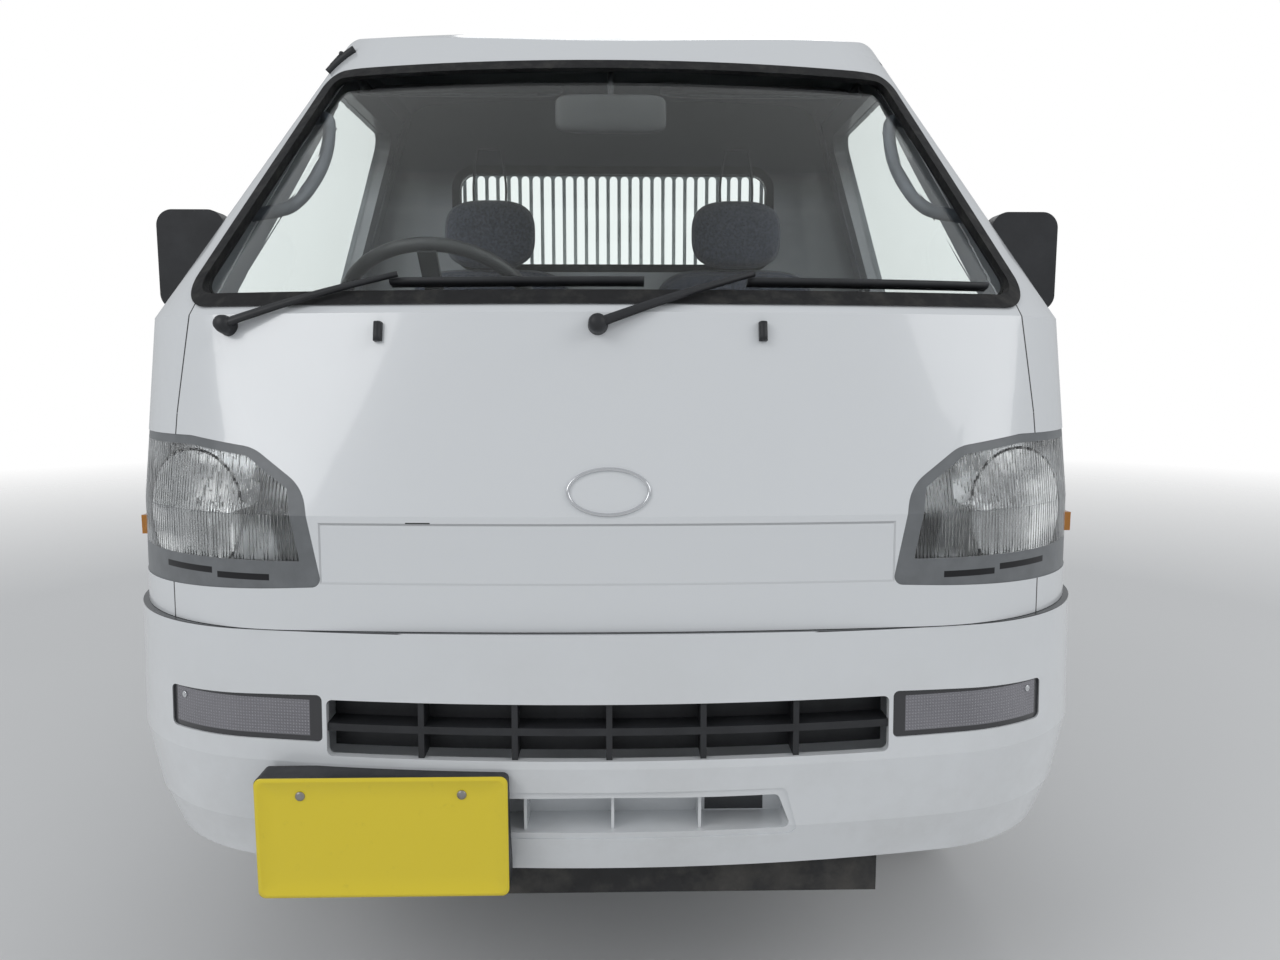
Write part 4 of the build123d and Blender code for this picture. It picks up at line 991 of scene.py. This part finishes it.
class TRUCK_OT_cab_trim(bpy.types.Operator):
    """Add inside mirror, grab handles, visors, head-restraint wires, door handles and the mirrors' glass"""

    bl_idname = "truck.cab_trim"
    bl_label = "Cab trim"

    def execute(self, context):
        rod = [(0.14, 0.708, 1.556), (0.30, 0.708, 1.556), (0.462, 0.708, 1.556), (0.474, 0.711, 1.568),
               (0.475, 0.715, 1.605)]
        grab = [(0.552, 0.665, 1.500), (0.520, 0.650, 1.490), (0.512, 0.575, 1.400), (0.545, 0.510, 1.320),
                (0.616, 0.500, 1.300)]
        for name, side in (("visor_driver", -1), ("visor_passenger", 1)):
            visor = pad((0.185, 0.060, 0.008), 6.0, 0.0, (side * 0.28, FRONT + 0.765, 1.578), 22.0)
            made = write_mesh(name, [visor], "visor")
        write_mesh("visor_pivots", [tube(on_side(rod, s, 40), 0.004, 10) for s in (-1, 1)], "black_plastic")
        write_mesh("grab_handles", [tube(on_side(grab, s, 60), 0.0115, 16) for s in (-1, 1)], "handle")
        holder = pad((0.100, 0.011, 0.034), 6.0, 0.0, (0.0, FRONT + 0.601, 1.495))
        roof, _ = skin_points(["roof_panel"], [(0.0, FRONT + 0.672, 1.55)], (0, 0, 1))
        stem = smooth_path([(0, FRONT + 0.602, 1.52), (0, FRONT + 0.625, 1.565), roof[0]], 20)
        write_mesh("inside_mirror", [holder, tube(stem, 0.006, 10)], "black_plastic")
        back = FRONT + 1.290
        half = [(0.040, back - 0.004, 1.44), (0.040, back, 1.50), (0.029, back, 1.572), (0.023, back, 1.578)]
        loop = np.array([(-x, y, z) for x, y, z in half] + half[::-1])
        wires = [tube(smooth_path(loop + [x, 0, 0], 60), 0.0028, 8) for x in (-0.310, 0.310)]
        write_mesh("head_restraint_wires", wires, "black_plastic")
        for name, side in (("left", 1), ("right", -1)):
            body = "door_" + name
            spot, _ = skin_points([body], [(side, FRONT + 1.2, 0.925)], (-side, 0, 0))
            flap = pad((0.009, 0.050, 0.0145), 6.0, 0.0, spot[0])
            write_mesh("handle_" + name, [flap], "black_plastic", body)
            glass = pane((side * 0.7875, FRONT + 0.7000, 1.2425), 0.105, 0.163, 0.022, 0.0016)
            write_mesh("mirror_pane_" + name, [glass], "mirror", body)
        glass = pane((0.0, FRONT + 0.6120, 1.495), 0.188, 0.054, 0.016, 0.0014)
        write_mesh("inside_mirror_pane", [glass], "mirror")
        return {"FINISHED"}


class TRUCK_OT_stage(bpy.types.Operator):
    """Set the pale floor, the soft light and the camera"""

    bl_idname = "truck.stage"
    bl_label = "Studio"

    def execute(self, context):
        s = context.scene.truck_stage
        context.scene.view_settings.view_transform = "Standard"
        lay_floor(context.scene, tuple(s.floor))
        light_world(context.scene, s.sky)
        hang_lamps(context.scene, s.lamp)
        set_camera(context.scene)
        return {"FINISHED"}


def put(scene, name, data, place=(0, 0, 0), turn=(0, 0, 0)):
    """Puts a mesh, lamp or camera in the scene."""
    made = bpy.data.objects.new(name, data)
    made.location = place
    made.rotation_euler = turn
    scene.collection.objects.link(made)
    return made


def lay_floor(scene, colour):
    """A pale floor, 80 m square, that goes clear between 3 and 9 m from the middle."""
    mesh = bpy.data.meshes.new("floor")
    mesh.from_pydata([(-40, -40, 0), (40, -40, 0), (-40, 40, 0), (40, 40, 0)], [], [(0, 1, 3, 2)])
    f = Finish("studio_floor", colour, 0.9, specular=0.1)
    f.set("Base Color", f.blend(f.speckle(0.6, 4), scaled(colour, 0.985), colour))
    far = f.add("ShaderNodeVectorMath", {0: f.place}, operation="LENGTH").outputs["Value"]
    f.fade(f.remap(far, 3.0, 9.0))
    mesh.materials.append(f.material)
    floor = put(scene, "floor", mesh)


def light_world(scene, strength):
    """Light from all round. The camera sees it as plain white, also through glass."""
    world = bpy.data.worlds.new("studio")
    world.use_nodes = True
    scene.world = world
    tree = world.node_tree
    back = tree.nodes["Background"]
    back.inputs["Color"].default_value = (0.94, 0.97, 1.0, 1)
    back.inputs["Strength"].default_value = strength
    white = tree.nodes.new("ShaderNodeBackground")
    white.inputs["Color"].default_value = (1, 1, 1, 1)
    path = tree.nodes.new("ShaderNodeLightPath")
    seen = tree.nodes.new("ShaderNodeMath")
    seen.operation = "MAXIMUM"
    tree.links.new(path.outputs["Is Camera Ray"], seen.inputs[0])
    tree.links.new(path.outputs["Is Transmission Ray"], seen.inputs[1])
    mix_shaders(tree, seen.outputs["Value"], back.outputs["Background"], white.outputs["Background"],
                tree.nodes["World Output"].inputs["Surface"])


def hang_lamps(scene, power):
    """Three large soft lamps that point at the truck's middle."""
    for name, place, size, share, shine in (
        ("lamp_left", (-4.5, -5.0, 4.6), 3.6, 1.0, 0.6),
        ("lamp_right", (5.0, -3.5, 4.0), 3.6, 0.7, 0.6),
        ("lamp_back", (0.5, 5.5, 5.0), 4.0, 0.55, 0.0),
    ):
        lamp = bpy.data.lights.new(name, "AREA")
        lamp.shape = "DISK"
        lamp.size = size
        lamp.energy = power * share
        lamp.specular_factor = shine
        aim = Vector((0, 0, 0.8)) - Vector(place)
        put(scene, name, lamp, place, aim.to_track_quat("-Z", "Y").to_euler())


def set_camera(scene):
    """The photograph's view, from close in front at chest height, looking slightly down."""
    camera = bpy.data.cameras.new("photo_view")
    camera.sensor_width = 36
    camera.lens = 27.06
    camera.clip_start = 0.05
    camera.clip_end = 200
    turn = (math.radians(90 - 6.93), 0, math.radians(-1.2))
    scene.camera = put(scene, "photo_view", camera, (0.015, -2.9025, 1.050), turn)


class TRUCK_PT_panel(bpy.types.Panel):
    """Sidebar list of the truck's pieces"""

    bl_idname = "TRUCK_PT_panel"
    bl_label = "Small truck"
    bl_space_type = "VIEW_3D"
    bl_region_type = "UI"
    bl_category = "Truck"

    def draw(self, context):
        for operator in OPERATORS:
            self.layout.operator(operator.bl_idname)


SETTINGS = (
    ("truck_paint", PaintSettings),
    ("truck_tyre", TyreSettings),
    ("truck_plate", PlateSettings),
    ("truck_stage", StageSettings),
)
OPERATORS = (
    TRUCK_OT_finishes, TRUCK_OT_tyres, TRUCK_OT_wheel_nuts, TRUCK_OT_seats, TRUCK_OT_plate,
    TRUCK_OT_bumper_ribs, TRUCK_OT_badge_ring, TRUCK_OT_lamp_trim, TRUCK_OT_wipers, TRUCK_OT_aerial,
    TRUCK_OT_cab_trim, TRUCK_OT_stage,
)


def register():
    for name, group in SETTINGS:
        bpy.utils.register_class(group)
        setattr(bpy.types.Scene, name, bpy.props.PointerProperty(type=group))
    for operator in OPERATORS:
        bpy.utils.register_class(operator)
    bpy.utils.register_class(TRUCK_PT_panel)


def unregister():
    bpy.utils.unregister_class(TRUCK_PT_panel)
    for operator in reversed(OPERATORS):
        bpy.utils.unregister_class(operator)
    for name, group in reversed(SETTINGS):
        delattr(bpy.types.Scene, name)
        bpy.utils.unregister_class(group)


def main():
    """Registers the add-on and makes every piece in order."""
    register()
    for operator in OPERATORS:
        group, name = operator.bl_idname.split(".")
        getattr(getattr(bpy.ops, group), name)()


if __name__ == "__main__":
    main()
